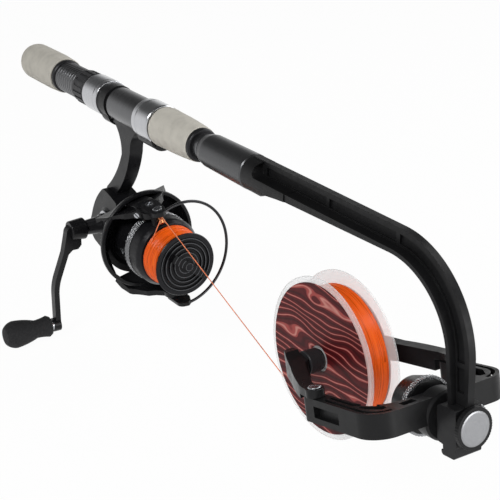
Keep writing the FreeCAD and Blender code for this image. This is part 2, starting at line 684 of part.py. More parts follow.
def make_fork():
    plan = padded("ForkPlan", FORK, "XY_Plane", [fork_plan()], d.forkHeight,
                  d.forkTop - d.forkHeight, False)
    tools = []
    for side, word in ((1, "Left"), (-1, "Right")):
        tools.append(padded("ForkPockets" + word, FORK, "XY_Plane", fork_pockets(side), 6,
                            d.forkTop - 5, False))
        edge = d.forkOuter - 3.5 if side > 0 else -d.forkOuter - 1
        tools.append(box("ForkWindow" + word, FORK, (65 if side > 0 else 45, edge, d.forkTop - 10.5),
                         (23, 4.5, 6.5)))
        tools.append(cylinder("PinHole" + word, pivot_frame(side), d.pinRadius + d.slipGap,
                              d.forkTop - d.forkHeight - 1, d.forkHeight + 2))
    tools.append(cylinder("HubClear", HUB, d.spigotRadius + d.slipGap, -40, 40))
    boss = [(-19.2, d.spigotRadius + d.slipGap), (-19.2, d.bossRadius - 1.2),
            (-20.4, d.bossRadius), (-28, d.bossRadius), (-32, d.bossRadius - 4, 5), (-33.5, 7.6),
            (-33.5, d.spigotRadius + d.slipGap)]
    solid = cut("ForkArms", plan, fused("ForkTools", tools))
    keep("fork_frame", fused("ForkFrame", [solid, turned("HubBoss", HUB, boss)]))
    spigot = [(-6.3, d.stemRadius + d.runGap), (-6.3, d.spigotRadius), (-33.5, d.spigotRadius),
              (-33.5, 4.0 + d.runGap), (-24, 4.0 + d.runGap), (-24, 0), (-16, 0),
              (-16, d.stemRadius + d.runGap)]
    keep("fork_spigot", turned("ForkSpigot", HUB, spigot))


def pivot_reach(side):
    """The lever pivot's reach: the left fork arm is shorter, so its lever is longer."""
    return d.pivotReach + d.farShift if side > 0 else d.pivotReach


def pivot_frame(side):
    return frame_at(FORK, pivot_reach(side), d.pivotSide * side, 0, TO_TOP)


def make_pivot_screw(side, word):
    top = d.forkTop + 5.1
    profile = [(d.forkTop - d.forkHeight, 0), (top + 1.1, 0), (top + 1.1, 3.4), (top + 0.7, 3.9),
               (top, 3.9), (top, d.pinRadius), (d.forkTop - d.forkHeight, d.pinRadius)]
    name = "PivotScrew" + word
    screw = turned(name, pivot_frame(side), profile)
    across = frame_at(FORK, pivot_reach(side), d.pivotSide * side, 0, Rotation(Vector(0, 0, 1), 35))
    slot = box(name + "Slot", across, (-5, -0.5, top + 0.5), (10, 1, 1))
    keep("pivot_screw_" + word.lower(), cut(name + "Cut", screw, slot))


def lever_plan(side):
    """The lever from above, from its hub inwards to the cone's axle."""
    reach = pivot_reach(side)
    return mirrored([(reach, d.pivotSide + 4.8), (reach - 10, d.pivotSide + 3.2), (8, 36.5, 150),
                     (-7, 30.0), (-10.5, 25.5, 6), (-10.5, 22.1), (6, 22.1), (9, 26.5),
                     (20, 32.5), (reach - 8, d.pivotSide - 4.4), (reach, d.pivotSide - 4.8)], side)


def lever_view(side):
    """The lever from its side, rising from its hub to the cone."""
    reach = pivot_reach(side)
    low, high = d.forkTop + d.bodyGap, d.forkTop + 5.0
    step = reach - 11.5
    base = -9.0 if side < 0 else -13.0
    return [(reach, low), (reach, high), (reach - 7, high), (18, 1.3), (1, 4.6), (-4, 8.2, -9),
            (-10.5, 8.2), (-10.5, -7.0), (8, -8.4), (step, base), (step, low)]


def make_lever(side, word):
    name = "Lever" + word
    low, high = d.forkTop + d.bodyGap, d.forkTop + 5.0
    plan = padded(name + "Plan", FORK, "XY_Plane", [lever_plan(side)], 30)
    view = padded(name + "View", FORK, "XZ_Plane", [lever_view(side)], 110)
    bar = overlap(name + "Bar", [plan, view])
    frame = pivot_frame(side)
    hub = cylinder(name + "Hub", frame, d.leverHub, low, high - low)
    hole = cylinder(name + "Hole", frame, d.pinRadius + d.runGap, low - 1, high - low + 2)
    turn = TO_FAR if side > 0 else TO_NEAR
    axle = cylinder(name + "Axle", frame_at(FORK, 0, 0, 0, turn), d.axleRadius, 11.4, 12.6)
    keep("lever_" + word.lower(), cut(name + "Cut", fused(name + "Solid", [bar, hub, axle]), hole))
    bore = d.axleRadius + d.runGap
    cone = [(d.coneBack, bore), (11.0, bore), (11.0, 0), (8.3, 0), (8.3, 3.0), (11.1, 5.8),
            (12.4, d.coneRadius), (d.coneBack - 0.6, d.coneRadius), (d.coneBack, d.coneRadius - 0.6)]
    keep("cone_" + word.lower(), turned("Cone" + word, frame_at(FORK, 0, 0, 0, turn), cone))


def make_tension_wheel():
    rim = d.bandRadius - 1.6
    drum = [(-26, 0), (-26, 4.0), (-34.4, 4.0), (-34.4, 12), (-35, rim), (-38.2, rim),
            (-38.2, rim + 1.1), (-50, d.coneRadius + 5.9), (-50, 9), (-48.6, 8.2), (-48.6, 0)]
    keep("tension_drum", turned("TensionDrum", HUB, drum))
    band = knurled("BandRim", HUB, d.bandRadius, 0.35, 48, -38.2, 3.2)
    hole = cylinder("BandHole", HUB, rim + d.slipGap, -39, 5)
    keep("tension_band", cut("TensionBand", band, hole))


# ---------------------------------------------------------------- filler spool


def make_filler():
    across = frame_at(FORK, 0, 0, 0, TO_FAR)
    half, wall = d.fillerWidth / 2, d.flangeThick
    left = half - wall
    spool = [(-half, d.fillerBore), (half, d.fillerBore), (half, d.fillerRadius - 0.8),
             (half - 0.8, d.fillerRadius, 0.8), (left, d.fillerRadius), (left, d.fillerHub),
             (-left, d.fillerHub), (-left, d.fillerRadius), (-half + 0.8, d.fillerRadius),
             (-half, d.fillerRadius - 0.8, 0.8)]
    keep("filler_spool", turned("FillerSpool", across, spool))
    edge = left - d.slipGap
    line = [(-edge, d.fillerHub + d.slipGap), (edge, d.fillerHub + d.slipGap),
            (edge, d.windingRadius - 0.7), (-edge, d.windingRadius - 0.7, 110)]
    keep("filler_winding", turned("FillerWinding", across, line))
    for side, word in ((1, "left"), (-1, "right")):
        turn = TO_FAR if side > 0 else TO_NEAR
        start = half + d.slipGap
        reach = d.windingRadius - 1.4 if side > 0 else d.labelRadius
        label = slab_loop(start, d.coneRadius + 0.8, start + d.labelThick, reach)
        keep("filler_label_" + word, turned("FillerLabel" + word, frame_at(FORK, 0, 0, 0, turn), label))


# ---------------------------------------------------------------- reel


def make_reel_body():
    ends = 3.4
    half = d.footHalf
    foot_plan = [(d.footStart, -ends), (d.footStart + 12, -half), (d.footEnd - 12, -half),
                 (d.footEnd, -ends), (d.footEnd, ends), (d.footEnd - 12, half),
                 (d.footStart + 12, half), (d.footStart, ends)]
    foot = padded("ReelFoot", HANDLE, "XY_Plane", [foot_plan], d.footThick,
                  -d.footDrop - d.footThick, False)
    sole = -d.footDrop - d.footThick + 0.1
    leg = [(197, sole, -20), (160.2, sole), (171.5, -36, -24), (145, -69, -90), (131, -92), (161, -92),
           (161, -70), (185, -31, 80)]
    stem = padded("ReelLeg", HANDLE, "XZ_Plane", [leg], 11)
    gears = [(170, -75), (148, -69.5, 90), (126, -98, 60), (122.5, -108, 20), (133, -119, 12),
             (150, -122, 60), (172, -118, 60)]
    case = padded("GearCase", HANDLE, "XZ_Plane", [gears], 22)
    face = [(0, 13.5), (0, 0), (24, 0), (24, 11), (22.5, 13.5)]
    side_case = turned("CaseRound", frame_at(CRANK, 0, 12, 0, TO_NEAR), face)
    front = [(165, 0), (165, 18), (172, 22), (178.4, 22), (179.6, 20), (179.6, 0)]
    flange = turned("CaseFront", REEL, front)
    neck = cylinder("CaseNeck", REEL, 8, 179, 9)
    solid = fused("ReelSolid", [foot, stem, case, side_case, flange, neck])
    shaft_hole = cylinder("ShaftHole", REEL, d.shaftRadius + d.runGap, 138, 52)
    crank_hole = cylinder("CrankHole", frame_at(CRANK, 0, 0, 0, TO_NEAR), 4.0 + d.runGap, 5, 8)
    keep("reel_body", cut("ReelBody", solid, fused("ReelHoles", [shaft_hole, crank_hole])))
    near = frame_at(CRANK, 0, 0, 0, TO_NEAR)
    ring = [(12.05, 4.2), (13.8, 4.2), (13.8, 9.6), (13.2, 10.2), (12.05, 10.2)]
    keep("body_ring", turned("BodyRing", near, ring))


def rotor_arm(side):
    """One rotor arm in the plane of both arms: a flat face that rises towards the bail's pivot."""
    tip = d.bailStation + 8
    if side > 0:
        reach = d.upperReach
        return [(186, 24), (192, 27.4), (204, 29.0), (216, 29.4), (tip, 30.2), (tip, reach),
                (d.bailStation - 6, reach), (d.bailStation - 13, reach - 1.4, -30), (197, 30.2),
                (186, 28.0)]
    reach = -d.lowerReach
    return [(tip, reach), (tip, reach + 4.6), (206, reach + 4.2), (197, reach + 6), (188, -25),
            (186, -28), (190, -33.6), (d.rimStation - 1.5, reach + 0.6), (206, reach)]


def arm_plan():
    """Both rotor arms from outside: broad at the rim, round at the bail's pivot."""
    back, tip = d.bailStation, 8
    return [(186, -30), (d.rimStation - 3, -25.6), (210, -16.5, -40), (214, -12), (back - 2, -tip),
            (back, -tip), (back + tip, 0, tip), (back, tip, tip), (back - 2, tip), (214, 12),
            (210, 16.5), (d.rimStation - 3, 25.6, -40), (186, 30)]


def make_rotor():
    """A cup behind the reel spool inside an open bowl, whose rim carries the two arms."""
    start, rim = d.rotorStart, d.rimStation
    bore, wall = 20.5, 23.2
    cup = [(start, 8.4), (start + 3, 8.4), (start + 3, bore), (start + 31, bore), (start + 31, wall),
           (start + 6, wall), (start + 6.6, 25), (start + 11.6, 32.2), (rim - 2.6, d.rotorRadius - 2.6),
           (rim, d.rotorRadius - 2.6), (rim, d.rotorRadius - 0.6), (rim - 0.6, d.rotorRadius),
           (rim - 2.4, d.rotorRadius), (start + 9.4, 33.2, 30), (start + 3, 25.0), (start + 0.6, 21.4),
           (start, 20)]
    arms = [overlap("RotorArm" + word, [
        padded("RotorArmSide" + word, ROTOR, "XZ_Plane", [rotor_arm(side)], 80),
        padded("RotorArmPlan" + word, ROTOR, "XY_Plane", [arm_plan()], 90)])
        for side, word in ((1, "Upper"), (-1, "Lower"))]
    windows = [padded("RotorWindow" + word, ROTOR, "XY_Plane", [mirrored(
        [(188, -29.5), (196.4, -31.0), (196.4, -15), (187.4, -15)], side)], 40, -40, False)
        for side, word in ((1, "Near"), (-1, "Far"))]
    pivot = frame_at(ROTOR, d.bailStation, 0, 0, TO_TOP)
    pins = [cylinder("BailPinUpper", pivot, 2.0, d.upperReach - 1, d.bailThick + 1.0),
            cylinder("BailPinLower", pivot, 2.0, -d.lowerReach - d.bailThick, d.bailThick + 1.0)]
    bowl = cut("RotorBowl", turned("RotorCup", ROTOR, cup), fused("RotorWindows", windows))
    keep("rotor", fused("Rotor", [bowl] + arms + pins))


def bail_plate(front):
    """A bail lever from outside: round at the pivot, then reaching forward to the wire."""
    back, wide = d.bailStation, 6.4
    return [(back, wide), (back - wide, 0, wide), (back, -wide, wide), (front - 7, -6.2),
            (front - 2, -3.4, 7), (front, 0), (front - 2, 3.0), (front - 7, 5.2)]


def make_bail():
    """The bail's two levers, the line roller under the upper one and the wire between them."""
    thick = d.bailThick
    top, bottom = d.upperReach + d.bodyGap, -d.lowerReach - d.bodyGap - thick
    pivot = frame_at(ROTOR, d.bailStation, 0, 0, TO_TOP)
    hole = cylinder("BailHoles", pivot, 2.0 + d.runGap, -60, 120)
    upper = padded("BailArmPlate", ROTOR, "XY_Plane", [bail_plate(242.4)], thick, top, False)
    carrier = frame_at(ROTOR, d.rollerStation, 0, 0, TO_TOP)
    pin = cylinder("RollerPin", carrier, 1.5, 27.0, 9)
    cheek = padded("RollerCheek", ROTOR, "XY_Plane", [[
        (d.rollerStation - 1.4, -3.9), (d.rollerStation - 1.4, -6.2), (d.rollerStation + 2.6, -6.0),
        (d.rollerStation + 2.6, -3.9)]], 9.4, 27.0, False)
    keep("bail_arm", cut("BailArm", fused("BailArmSolid", [upper, pin, cheek]), hole))
    lower = padded("BailFootPlate", ROTOR, "XY_Plane", [bail_plate(242.4)], thick, bottom, False)
    keep("bail_foot", cut("BailFoot", lower, hole))
    roller = [(27.3, 1.5 + d.runGap), (34.7, 1.5 + d.runGap), (34.7, d.rollerRadius),
              (33.9, d.rollerRadius), (32.6, d.rollerRadius - 0.8), (30.0, d.rollerRadius - 0.8),
              (28.4, d.rollerRadius), (27.3, d.rollerRadius)]
    keep("line_roller", turned("LineRoller", carrier, roller))
    face = top + thick
    cover = [(face, 0), (face + 1.0, 0), (face + 1.0, 2.6), (face + 0.5, 3.4), (face, 3.4)]
    keep("roller_cover", turned("RollerCover", carrier, cover))
    make_bail_wire(top + 1.7, bottom + 1.7)


def swept_rod(name, frame, path, radius):
    """A round rod along a smooth path of edges."""
    first = path[0]
    tangent = first.tangentAt(first.FirstParameter)
    section = Part.Wire(Part.Circle(first.valueAt(first.FirstParameter), tangent, number(radius)).toShape())
    rod = DOCUMENT.addObject("Part::Feature", name)
    rod.Shape = Part.Wire(path).makePipeShell([section], True, False)
    rod.Placement = frame
    return rod


def make_bail_wire(upper, lower):
    """The wire hoop, bent in one arc from the roller's lever round to the other lever."""
    arc = Part.Arc(Vector(240.2, 0, number(upper)), Vector(234.4, 47.5, 0),
                   Vector(240.2, 0, number(lower)))
    keep("bail_wire", swept_rod("BailWire", ROTOR, [arc.toShape()], d.wireRadius))


def make_reel_spool():
    shaft = [(160, 0), (262.2, 0), (262.2, d.shaftRadius), (160, d.shaftRadius)]
    keep("main_shaft", turned("MainShaft", REEL, shaft))
    bore = d.shaftRadius + d.runGap
    lip = d.lipStation
    spool = [(218.4, 24.6), (218.4, bore), (246, bore), (246, 15.6), (251.6, 15.6), (254.2, 20.4),
             (lip, 20.4), (lip, d.reelLip - 0.6), (lip - 0.8, d.reelLip), (lip - 5.4, 19.6),
             (lip - 6.4, 17), (234, 17), (233, 23.4), (229, 25.8), (219.4, 26.0), (219.4, 25.2),
             (212.6, 25.2), (212.6, 24.6)]
    keep("reel_spool", turned("ReelSpool", REEL, spool))
    rim = knurled("SkirtRim", REEL, 26.4, 0.3, 56, 212.8, 6.2)
    hole = cylinder("SkirtHole", REEL, 25.2 + d.slipGap, 212, 8)
    keep("skirt_ring", cut("SkirtRing", rim, hole))
    line = [(234.6, 17.05), (249.9, 17.05), (249.9, 21.0), (234.6, 22.6)]
    keep("reel_winding", turned("ReelWinding", REEL, line))
    make_drag_knob(bore)


def make_drag_knob(bore):
    steps = [(246.4, 0), (246.4, 15.2), (254.7, 15.2), (254.7, 20.0), (257.0, 20.0), (257.0, 19.0),
             (256.0, 18.6), (256.0, 17.2), (257.3, 16.8), (257.3, 15.8), (256.3, 15.4), (256.3, 13.8),
             (257.6, 13.4), (257.6, 12.4), (256.6, 12.0), (256.6, 10.2), (257.9, 9.8), (257.9, 0)]
    face = turned("DragFace", REEL, steps)
    bar = box("DragBar", frame_at(REEL, 0, 0, 0, Rotation(Vector(1, 0, 0), -35)), (256.2, -15.6, -2.9),
              (6.0, 31.2, 5.8))
    hole = cylinder("DragHole", REEL, bore, 246, 16.4)
    keep("drag_knob", cut("DragKnob", fused("DragSolid", [face, bar]), hole))


def make_crank():
    near = frame_at(CRANK, 0, 0, 0, TO_NEAR)
    sleeve = [(5.2, 0), (5.2, 4.0), (14.1, 4.0), (14.1, 8.2), (16.6, 8.2), (17.2, 6.9), (30, 5.6),
              (30.4, 6.3), (33.2, 6.3), (33.6, 5.0), (35, 5.0), (35, 0)]
    keep("crank_shaft", turned("CrankShaft", near, sleeve))
    throw = d.crankThrow
    swan = [(-35.1, 4.6), (-41, 4.6), (-47, -1.4, 6), (-50.2, -16), (-57, -34), (-59.8, -50, 44),
            (-59.8, -throw), (-55.6, -throw), (-55.6, -50), (-52.8, -35.2, -40), (-46.2, -18),
            (-42.6, -15), (-38, -15), (-35.1, -12)]
    bar = padded("CrankBar", CRANK, "YZ_Plane", [swan], 6.4)
    eye = cylinder("CrankEye", frame_at(CRANK, 0, 0, -throw, TO_NEAR), 5.4, 56, 5.2)
    keep("crank_arm", fused("CrankArm", [bar, eye]))
    grip = frame_at(CRANK, 0, 0, -throw, TO_NEAR)
    pin = [(61.3, 0), (97, 0), (97, 2.5), (63.6, 2.5), (63.6, 4.2), (61.3, 4.2)]
    keep("knob_pin", turned("KnobPin", grip, pin))
    bore = 2.5 + d.runGap
    knob = [(63.9, bore), (97.3, bore), (97.3, 0), (101.5, 0), (100.6, 6.6), (93, 10.6, 11),
            (76, 7.0, 60), (66, 8.4, -40), (63.9, 7.2)]
    keep("crank_knob", turned("CrankKnob", grip, knob))


# ---------------------------------------------------------------- line


def make_line():
    """The taut line, from the reel spool over the roller and on to the filler spool's winding."""
    start = ROTOR.multVec(Vector(238.0, -13.2, 18.5))
    corner = ROTOR.multVec(Vector(236.9, 0.4, 32.6))
    end = HANDLE.multVec(Vector(420.0, -6.6, -131.6))
    up, along = (corner - start).normalize(), (end - corner).normalize()
    bend = 2.4
    half_turn = up.getAngle(along) / 2
    reach = bend * math.tan(half_turn)
    before, after = corner - up * reach, corner + along * reach
    inside = (along - up).normalize()
    crown = corner + inside * (bend / math.cos(half_turn) - bend)
    path = [Part.LineSegment(start, before).toShape(), Part.Arc(before, crown, after).toShape(),
            Part.LineSegment(after, end).toShape()]
    line = swept_rod("Line", Placement(), path, d.lineRadius)
    print(f"line length {line.Shape.Volume / math.pi / number(d.lineRadius) ** 2:.1f} mm")
    keep("line", line)


# ---------------------------------------------------------------- whole model


def build_all():
    make_grips()
    make_core()
    make_seat()
    make_lock_nut()
    make_sliding_hood()
    make_fixed_hood()
    make_arm()
    make_end_block()
    make_block_controls()
    make_lock_knob()
    make_fork()
    for side, word in ((1, "Left"), (-1, "Right")):
        make_pivot_screw(side, word)
        make_lever(side, word)
    make_tension_wheel()
    make_filler()
    make_reel_body()
    make_rotor()
    make_bail()
    make_reel_spool()
    make_crank()
    make_line()


def check_and_write():
    DOCUMENT.recompute()
    for item in DOCUMENT.Objects:
        if "Invalid" in item.State or "Error" in item.State:
            raise RuntimeError(f"{item.Label} failed: {item.State}")
    os.makedirs("parts", exist_ok=True)
    for node, item in NODES.items():
        shape = item.Shape
        if shape.isNull() or not shape.isValid() or not shape.Solids:
            raise RuntimeError(f"{node} has no valid solid")
        print(f"{node:18s} solids {len(shape.Solids)} volume {shape.Volume / 1000:9.3f} cm3")
        shape.exportStep(f"parts/{node}.step")


build_all()
check_and_write()
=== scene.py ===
"""Dressed model of a hand-held fishing line winder.

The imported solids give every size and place. Each operator dresses one group of pieces with softened
edges and worked finishes, adds the fine pieces that the solids leave out, and hides the solids that
its pieces stand for. All lengths are metres, in the solids' own frame: the handle runs along +X, +Z
is up and the reel's crank is on the -Y side.
"""
import json
import math

import bpy
from bpy.props import FloatProperty, FloatVectorProperty, IntProperty, PointerProperty
from mathutils import Matrix, Vector


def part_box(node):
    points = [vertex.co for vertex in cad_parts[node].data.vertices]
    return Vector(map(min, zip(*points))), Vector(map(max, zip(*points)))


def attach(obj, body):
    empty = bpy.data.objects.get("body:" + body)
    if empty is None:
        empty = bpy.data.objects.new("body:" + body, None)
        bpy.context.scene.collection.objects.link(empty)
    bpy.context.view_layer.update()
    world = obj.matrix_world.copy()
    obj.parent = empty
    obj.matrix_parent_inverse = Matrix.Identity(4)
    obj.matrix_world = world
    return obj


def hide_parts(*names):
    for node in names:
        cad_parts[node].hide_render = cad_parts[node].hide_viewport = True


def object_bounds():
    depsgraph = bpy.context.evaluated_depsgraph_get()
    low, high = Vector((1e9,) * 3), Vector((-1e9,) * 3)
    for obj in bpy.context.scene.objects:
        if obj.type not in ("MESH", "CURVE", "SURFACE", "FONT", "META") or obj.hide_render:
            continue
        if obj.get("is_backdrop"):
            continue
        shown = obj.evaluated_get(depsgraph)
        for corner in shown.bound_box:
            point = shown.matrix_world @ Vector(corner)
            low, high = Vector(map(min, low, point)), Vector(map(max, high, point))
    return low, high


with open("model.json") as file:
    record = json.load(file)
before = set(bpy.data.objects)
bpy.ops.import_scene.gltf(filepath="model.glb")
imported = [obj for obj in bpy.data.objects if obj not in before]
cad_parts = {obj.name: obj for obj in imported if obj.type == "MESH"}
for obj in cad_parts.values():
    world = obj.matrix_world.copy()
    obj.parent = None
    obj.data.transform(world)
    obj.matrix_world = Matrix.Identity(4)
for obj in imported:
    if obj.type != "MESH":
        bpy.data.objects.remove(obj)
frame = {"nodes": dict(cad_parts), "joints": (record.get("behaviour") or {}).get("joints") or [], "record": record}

bl_info = {
    "name": "Fishing Line Winder",
    "version": (1, 0, 0),
    "blender": (4, 5, 0),
    "location": "View3D > Sidebar > Winder",
    "description": "Dresses the packed solids of a fishing line winder",
    "category": "Add Mesh",
}

MM = 0.001
JOINTS = {joint["name"]: joint for joint in frame["joints"]}
BODIES = frame["record"]["behaviour"]["bodies"]
BODY_OF = {node: body for body, nodes in BODIES.items() for node in nodes}
ALONG, ACROSS, UP = Vector((1, 0, 0)), Vector((0, 1, 0)), Vector((0, 0, 1))

# The taut line's route: up from the reel spool, over the roller and on to the filler spool.
LINE_ROUTE = [(0.20700, -0.01751, -0.08132), (0.20614, -0.01003, -0.06786),
              (0.20590, -0.00800, -0.06419), (0.20984, -0.00797, -0.06564),
              (0.38900, -0.00660, -0.13160)]

# Radii that the two windings start from, and how much the reel's falls away towards the front.
FILLER_CORE, REEL_CORE, REEL_TAPER = 22.1 * MM, 17.1 * MM, 1.6 * MM

# The bail's screws, by their reach from the rotor's axis along the bail's own.
BAIL_SCREWS = (("upper", 38.4 * MM), ("lower", -42.4 * MM))

# The side profile of the rotor's upper arm, in millimetres along the handle and up the arm, and the
# arm's width in millimetres.
SHOULDER = [(154, 24), (173, 24), (174, 27.6), (192, 27.6), (192, 34.4), (184.2, 34.4),
            (183.2, 36), (179, 36), (167, 33.5), (154, 29)]
SHOULDER_WIDTH = 16

# Small screws on the rotor: where each sits, in on_rotor's millimetres, and its head's radius as a
# share of the bail screws'.
ROTOR_SCREWS = (("arm_screw", (186, -9.9, 31.7), 0.74), ("arm_dot", (165, -8, 31.7), 0.32),
                ("cup_screw", (171, -23.1, 2.4), 0.7))

# The boss on the crank's shaft: how far out it sits, its length and its two radii.
BOSS_REACH, BOSS_LENGTH, BOSS_RADII = 23.4 * MM, 12.2 * MM, (8.4 * MM, 7.4 * MM)

# Raised rings of the drag knob, where the bands of painted highlight fall: the outermost one's radius and the step
# between them.
KNOB_RING, KNOB_STEP = 19.7 * MM, 3.4 * MM

# Each lamp by its offset from the middle of the object, its width and its power in watts.
LAMPS = (("Key light", (0.55, -1.15, 1.15), 0.6, 15), ("Fill light", (1.3, 0.5, 0.3), 0.9, 8),
         ("Back light", (0.1, 1.3, 0.9), 1.0, 10))

# The camera: where it stands, the point it looks at, its roll in degrees and its lens and sensor
# in millimetres.
EYE, TARGET, ROLL = (0.9108, -0.3888, 0.2453), (0.3099, 0, -0.0544), 0.5
LENS, SENSOR = 86.4, 36

# Vertices closer together than this become one.
WELD = 0.002 * MM


# ---------------------------------------------------------------- places


def middle(node):
    """The centre of a solid's bounding box."""
    low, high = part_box(node)
    return (low + high) / 2


def extent(node):
    """The sizes of a solid's bounding box."""
    low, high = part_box(node)
    return high - low


def place_at(point, along, up):
    """A place whose local X runs along one axis and whose local Z leans towards another."""
    x = Vector(along).normalized()
    z = Vector(up)
    z = (z - x * z.dot(x)).normalized()
    return Matrix.Translation(point) @ Matrix((x, z.cross(x), z)).transposed().to_4x4()


def joint_place(name, up, turn=1):
    """A hinge's own place, with local X along its axis, or against it for a turn of -1."""
    joint = JOINTS[name]
    return place_at(joint["pos_m"], Vector(joint["axis"]) * turn, up)


FORK_UP = Vector(JOINTS["lever_left_swing"]["axis"])
HANDLE = place_at((0, 0, 0), ALONG, UP)
REEL = place_at(middle("reel_winding"), ALONG, UP)
ROTOR = joint_place("rotor_spin", JOINTS["bail_flip"]["axis"])
HUB = joint_place("fork_turn", UP)
SPOOL = place_at(middle("filler_spool"), ACROSS, FORK_UP)
CRANK = joint_place("crank_turn", UP, -1)
KNOB = joint_place("knob_spin", UP, -1)
SIDE_WHEEL = joint_place("side_wheel_turn", UP)
BUTTON = place_at(middle("detent_button"), JOINTS["button_press"]["axis"], ALONG)
ROLLER = place_at(middle("line_roller"), JOINTS["roller_spin"]["axis"], ALONG)


def on_rotor(x, y, z):
    """A point by its millimetres along the handle, across the arms and towards the upper arm."""
    return ROTOR @ Vector((x * MM - ROTOR.translation.x, y * MM, z * MM))


# ---------------------------------------------------------------- finishes


def shade(colour, factor):
    """A colour made darker or lighter by a factor."""
    return tuple(min(channel * factor, 1.0) for channel in colour[:3])


class Finish:
    """A material, with short words for the nodes that give it its detail."""

    def __init__(self, name, colour, roughness, **sockets):
        self.material = bpy.data.materials.new(name)
        self.material.use_nodes = True
        self.shader = self.material.node_tree.nodes["Principled BSDF"]
        self.shader.inputs["Base Color"].default_value = (*colour[:3], 1)
        self.shader.inputs["Roughness"].default_value = roughness
        for word, value in sockets.items():
            self.shader.inputs[word.replace("_", " ")].default_value = value

    def feed(self, socket, value):
        """Link a node's output to a socket, or set the socket to a plain value."""
        if isinstance(value, bpy.types.NodeSocket):
            self.material.node_tree.links.new(value, socket)
        else:
            socket.default_value = value

    def add(self, kind, inputs, **settings):
        """A new node of a kind, with its inputs fed and its settings made."""
        node = self.material.node_tree.nodes.new("ShaderNode" + kind)
        for word, value in settings.items():
            setattr(node, word, value)
        for socket, value in inputs.items():
            self.feed(node.inputs[socket], value)
        return node

    def calc(self, operation, first, second=0.0):
        """What a math operation makes of one or two values."""
        return self.add("Math", {0: first, 1: second}, operation=operation).outputs[0]

    def spot(self, place=HANDLE, stretch=(1, 1, 1)):
        """Object coordinates seen from a place, with its local axes drawn out."""
        coords = self.add("TexCoord", {}).outputs["Object"]
        values = {"Vector": coords, "Location": place.translation, "Rotation": place.to_euler(),
                  "Scale": stretch}
        return self.add("Mapping", values, vector_type="TEXTURE").outputs["Vector"]

    def around(self, place):
        """Station, angle and radius about a place's local X axis."""
        parts = self.add("SeparateXYZ", {"Vector": self.spot(place)}).outputs
        angle = self.calc("ARCTAN2", parts["Z"], parts["Y"])
        square = self.calc("ADD", self.calc("MULTIPLY", parts["Y"], parts["Y"]),
                           self.calc("MULTIPLY", parts["Z"], parts["Z"]))
        return parts["X"], angle, self.calc("SQRT", square)

    def noise(self, vector, scale, detail=3.0):
        """A soft random pattern."""
        values = {"Vector": vector, "Scale": scale, "Detail": detail}
        return self.add("TexNoise", values).outputs["Fac"]

    def cells(self, vector, scale):
        """How far each point is from the middle of its random cell."""
        return self.add("TexVoronoi", {"Vector": vector, "Scale": scale}).outputs["Distance"]

    def tint(self, factor, *tones):
        """Colour by a factor: each tone is (where on the factor, colour)."""
        ramp = self.add("ValToRGB", {"Fac": factor})
        marks = ramp.color_ramp.elements
        ends = [marks[0], marks[1]]
        for mark, (where, colour) in zip(ends, (tones[0], tones[-1])):
            mark.position, mark.color = where, (*colour[:3], 1)
        for where, colour in tones[1:-1]:
            marks.new(where).color = (*colour[:3], 1)
        self.feed(self.shader.inputs["Base Color"], ramp.outputs["Color"])

    def gloss(self, factor, low, high):
        """Let the roughness wander between two values."""
        values = {"Value": factor, "From Min": 0.3, "From Max": 0.7, "To Min": low, "To Max": high}
        self.feed(self.shader.inputs["Roughness"], self.add("MapRange", values).outputs["Result"])

    def relief(self, height, depth):
        """Raise the surface by a height pattern, over any relief it already has."""
        bump = self.add("Bump", {"Height": height, "Distance": depth, "Strength": 1.0})
        normal = self.shader.inputs["Normal"]
        if normal.is_linked:
            self.feed(bump.inputs["Normal"], normal.links[0].from_socket)
        self.feed(normal, bump.outputs["Normal"])


def foam(name, colour, grain):
    """Closed-cell foam: fine pores, soft mottling and no shine."""
    finish = Finish(name, colour, 0.9)
    spot = finish.spot()
    mottle = finish.noise(spot, 140, 4)
    pores = finish.cells(spot, grain)
    finish.tint(mottle, (0.3, shade(colour, 0.88)), (0.5, colour), (0.72, shade(colour, 1.07)))
    finish.gloss(finish.noise(spot, 700), 0.78, 0.96)
    finish.relief(pores, 0.00012)
    finish.relief(finish.noise(spot, grain * 2, 5), 0.00008)
    return finish.material


def moulded(name, colour, roughness):
    """Moulded nylon: a faint spark-eroded grain, with flow marks that change the sheen."""
    finish = Finish(name, colour, roughness, Specular_IOR_Level=0.16)
    spot = finish.spot()
    flow = finish.noise(finish.spot(stretch=(4, 1, 1)), 55, 2)
    finish.tint(flow, (0.32, shade(colour, 0.8)), (0.68, shade(colour, 1.25)))
    finish.gloss(finish.noise(spot, 260, 4), roughness - 0.06, roughness + 0.08)
    finish.relief(finish.noise(spot, 1900, 2), 0.00003)
    return finish.material


def painted(name, colour, roughness):
    """Satin paint over cast metal: tiny flakes under a thin clear coat."""
    finish = Finish(name, colour, roughness, Specular_IOR_Level=0.14, Coat_Weight=0.12,
                    Coat_Roughness=0.2)
    spot = finish.spot()
    flakes = finish.noise(spot, 4200, 1)
    finish.tint(flakes, (0.36, shade(colour, 0.75)), (0.6, colour), (0.74, shade(colour, 2.2)))
    finish.gloss(finish.noise(spot, 120, 3), roughness - 0.05, roughness + 0.1)
    finish.relief(finish.noise(spot, 500, 2), 0.00002)
    return finish.material


def brushed(name, colour, place, roughness, metallic=1.0):
    """Turned metal: fine lines round its axis that break up the highlights."""
    finish = Finish(name, colour, roughness, Metallic=metallic, Specular_IOR_Level=0.2)
    station, angle, radius = finish.around(place)
    per_metre = 9000
    fine = {"X": finish.calc("MULTIPLY", station, per_metre),
            "Y": finish.calc("MULTIPLY", angle, 1.5),
            "Z": finish.calc("MULTIPLY", radius, per_metre)}
    lines = finish.noise(finish.add("CombineXYZ", fine).outputs["Vector"], 1, 3)
    finish.tint(lines, (0.3, shade(colour, 0.86)), (0.52, colour), (0.75, shade(colour, 1.08)))
    finish.gloss(lines, roughness - 0.05, roughness + 0.07)
    finish.relief(lines, 0.000008)
    return finish.material


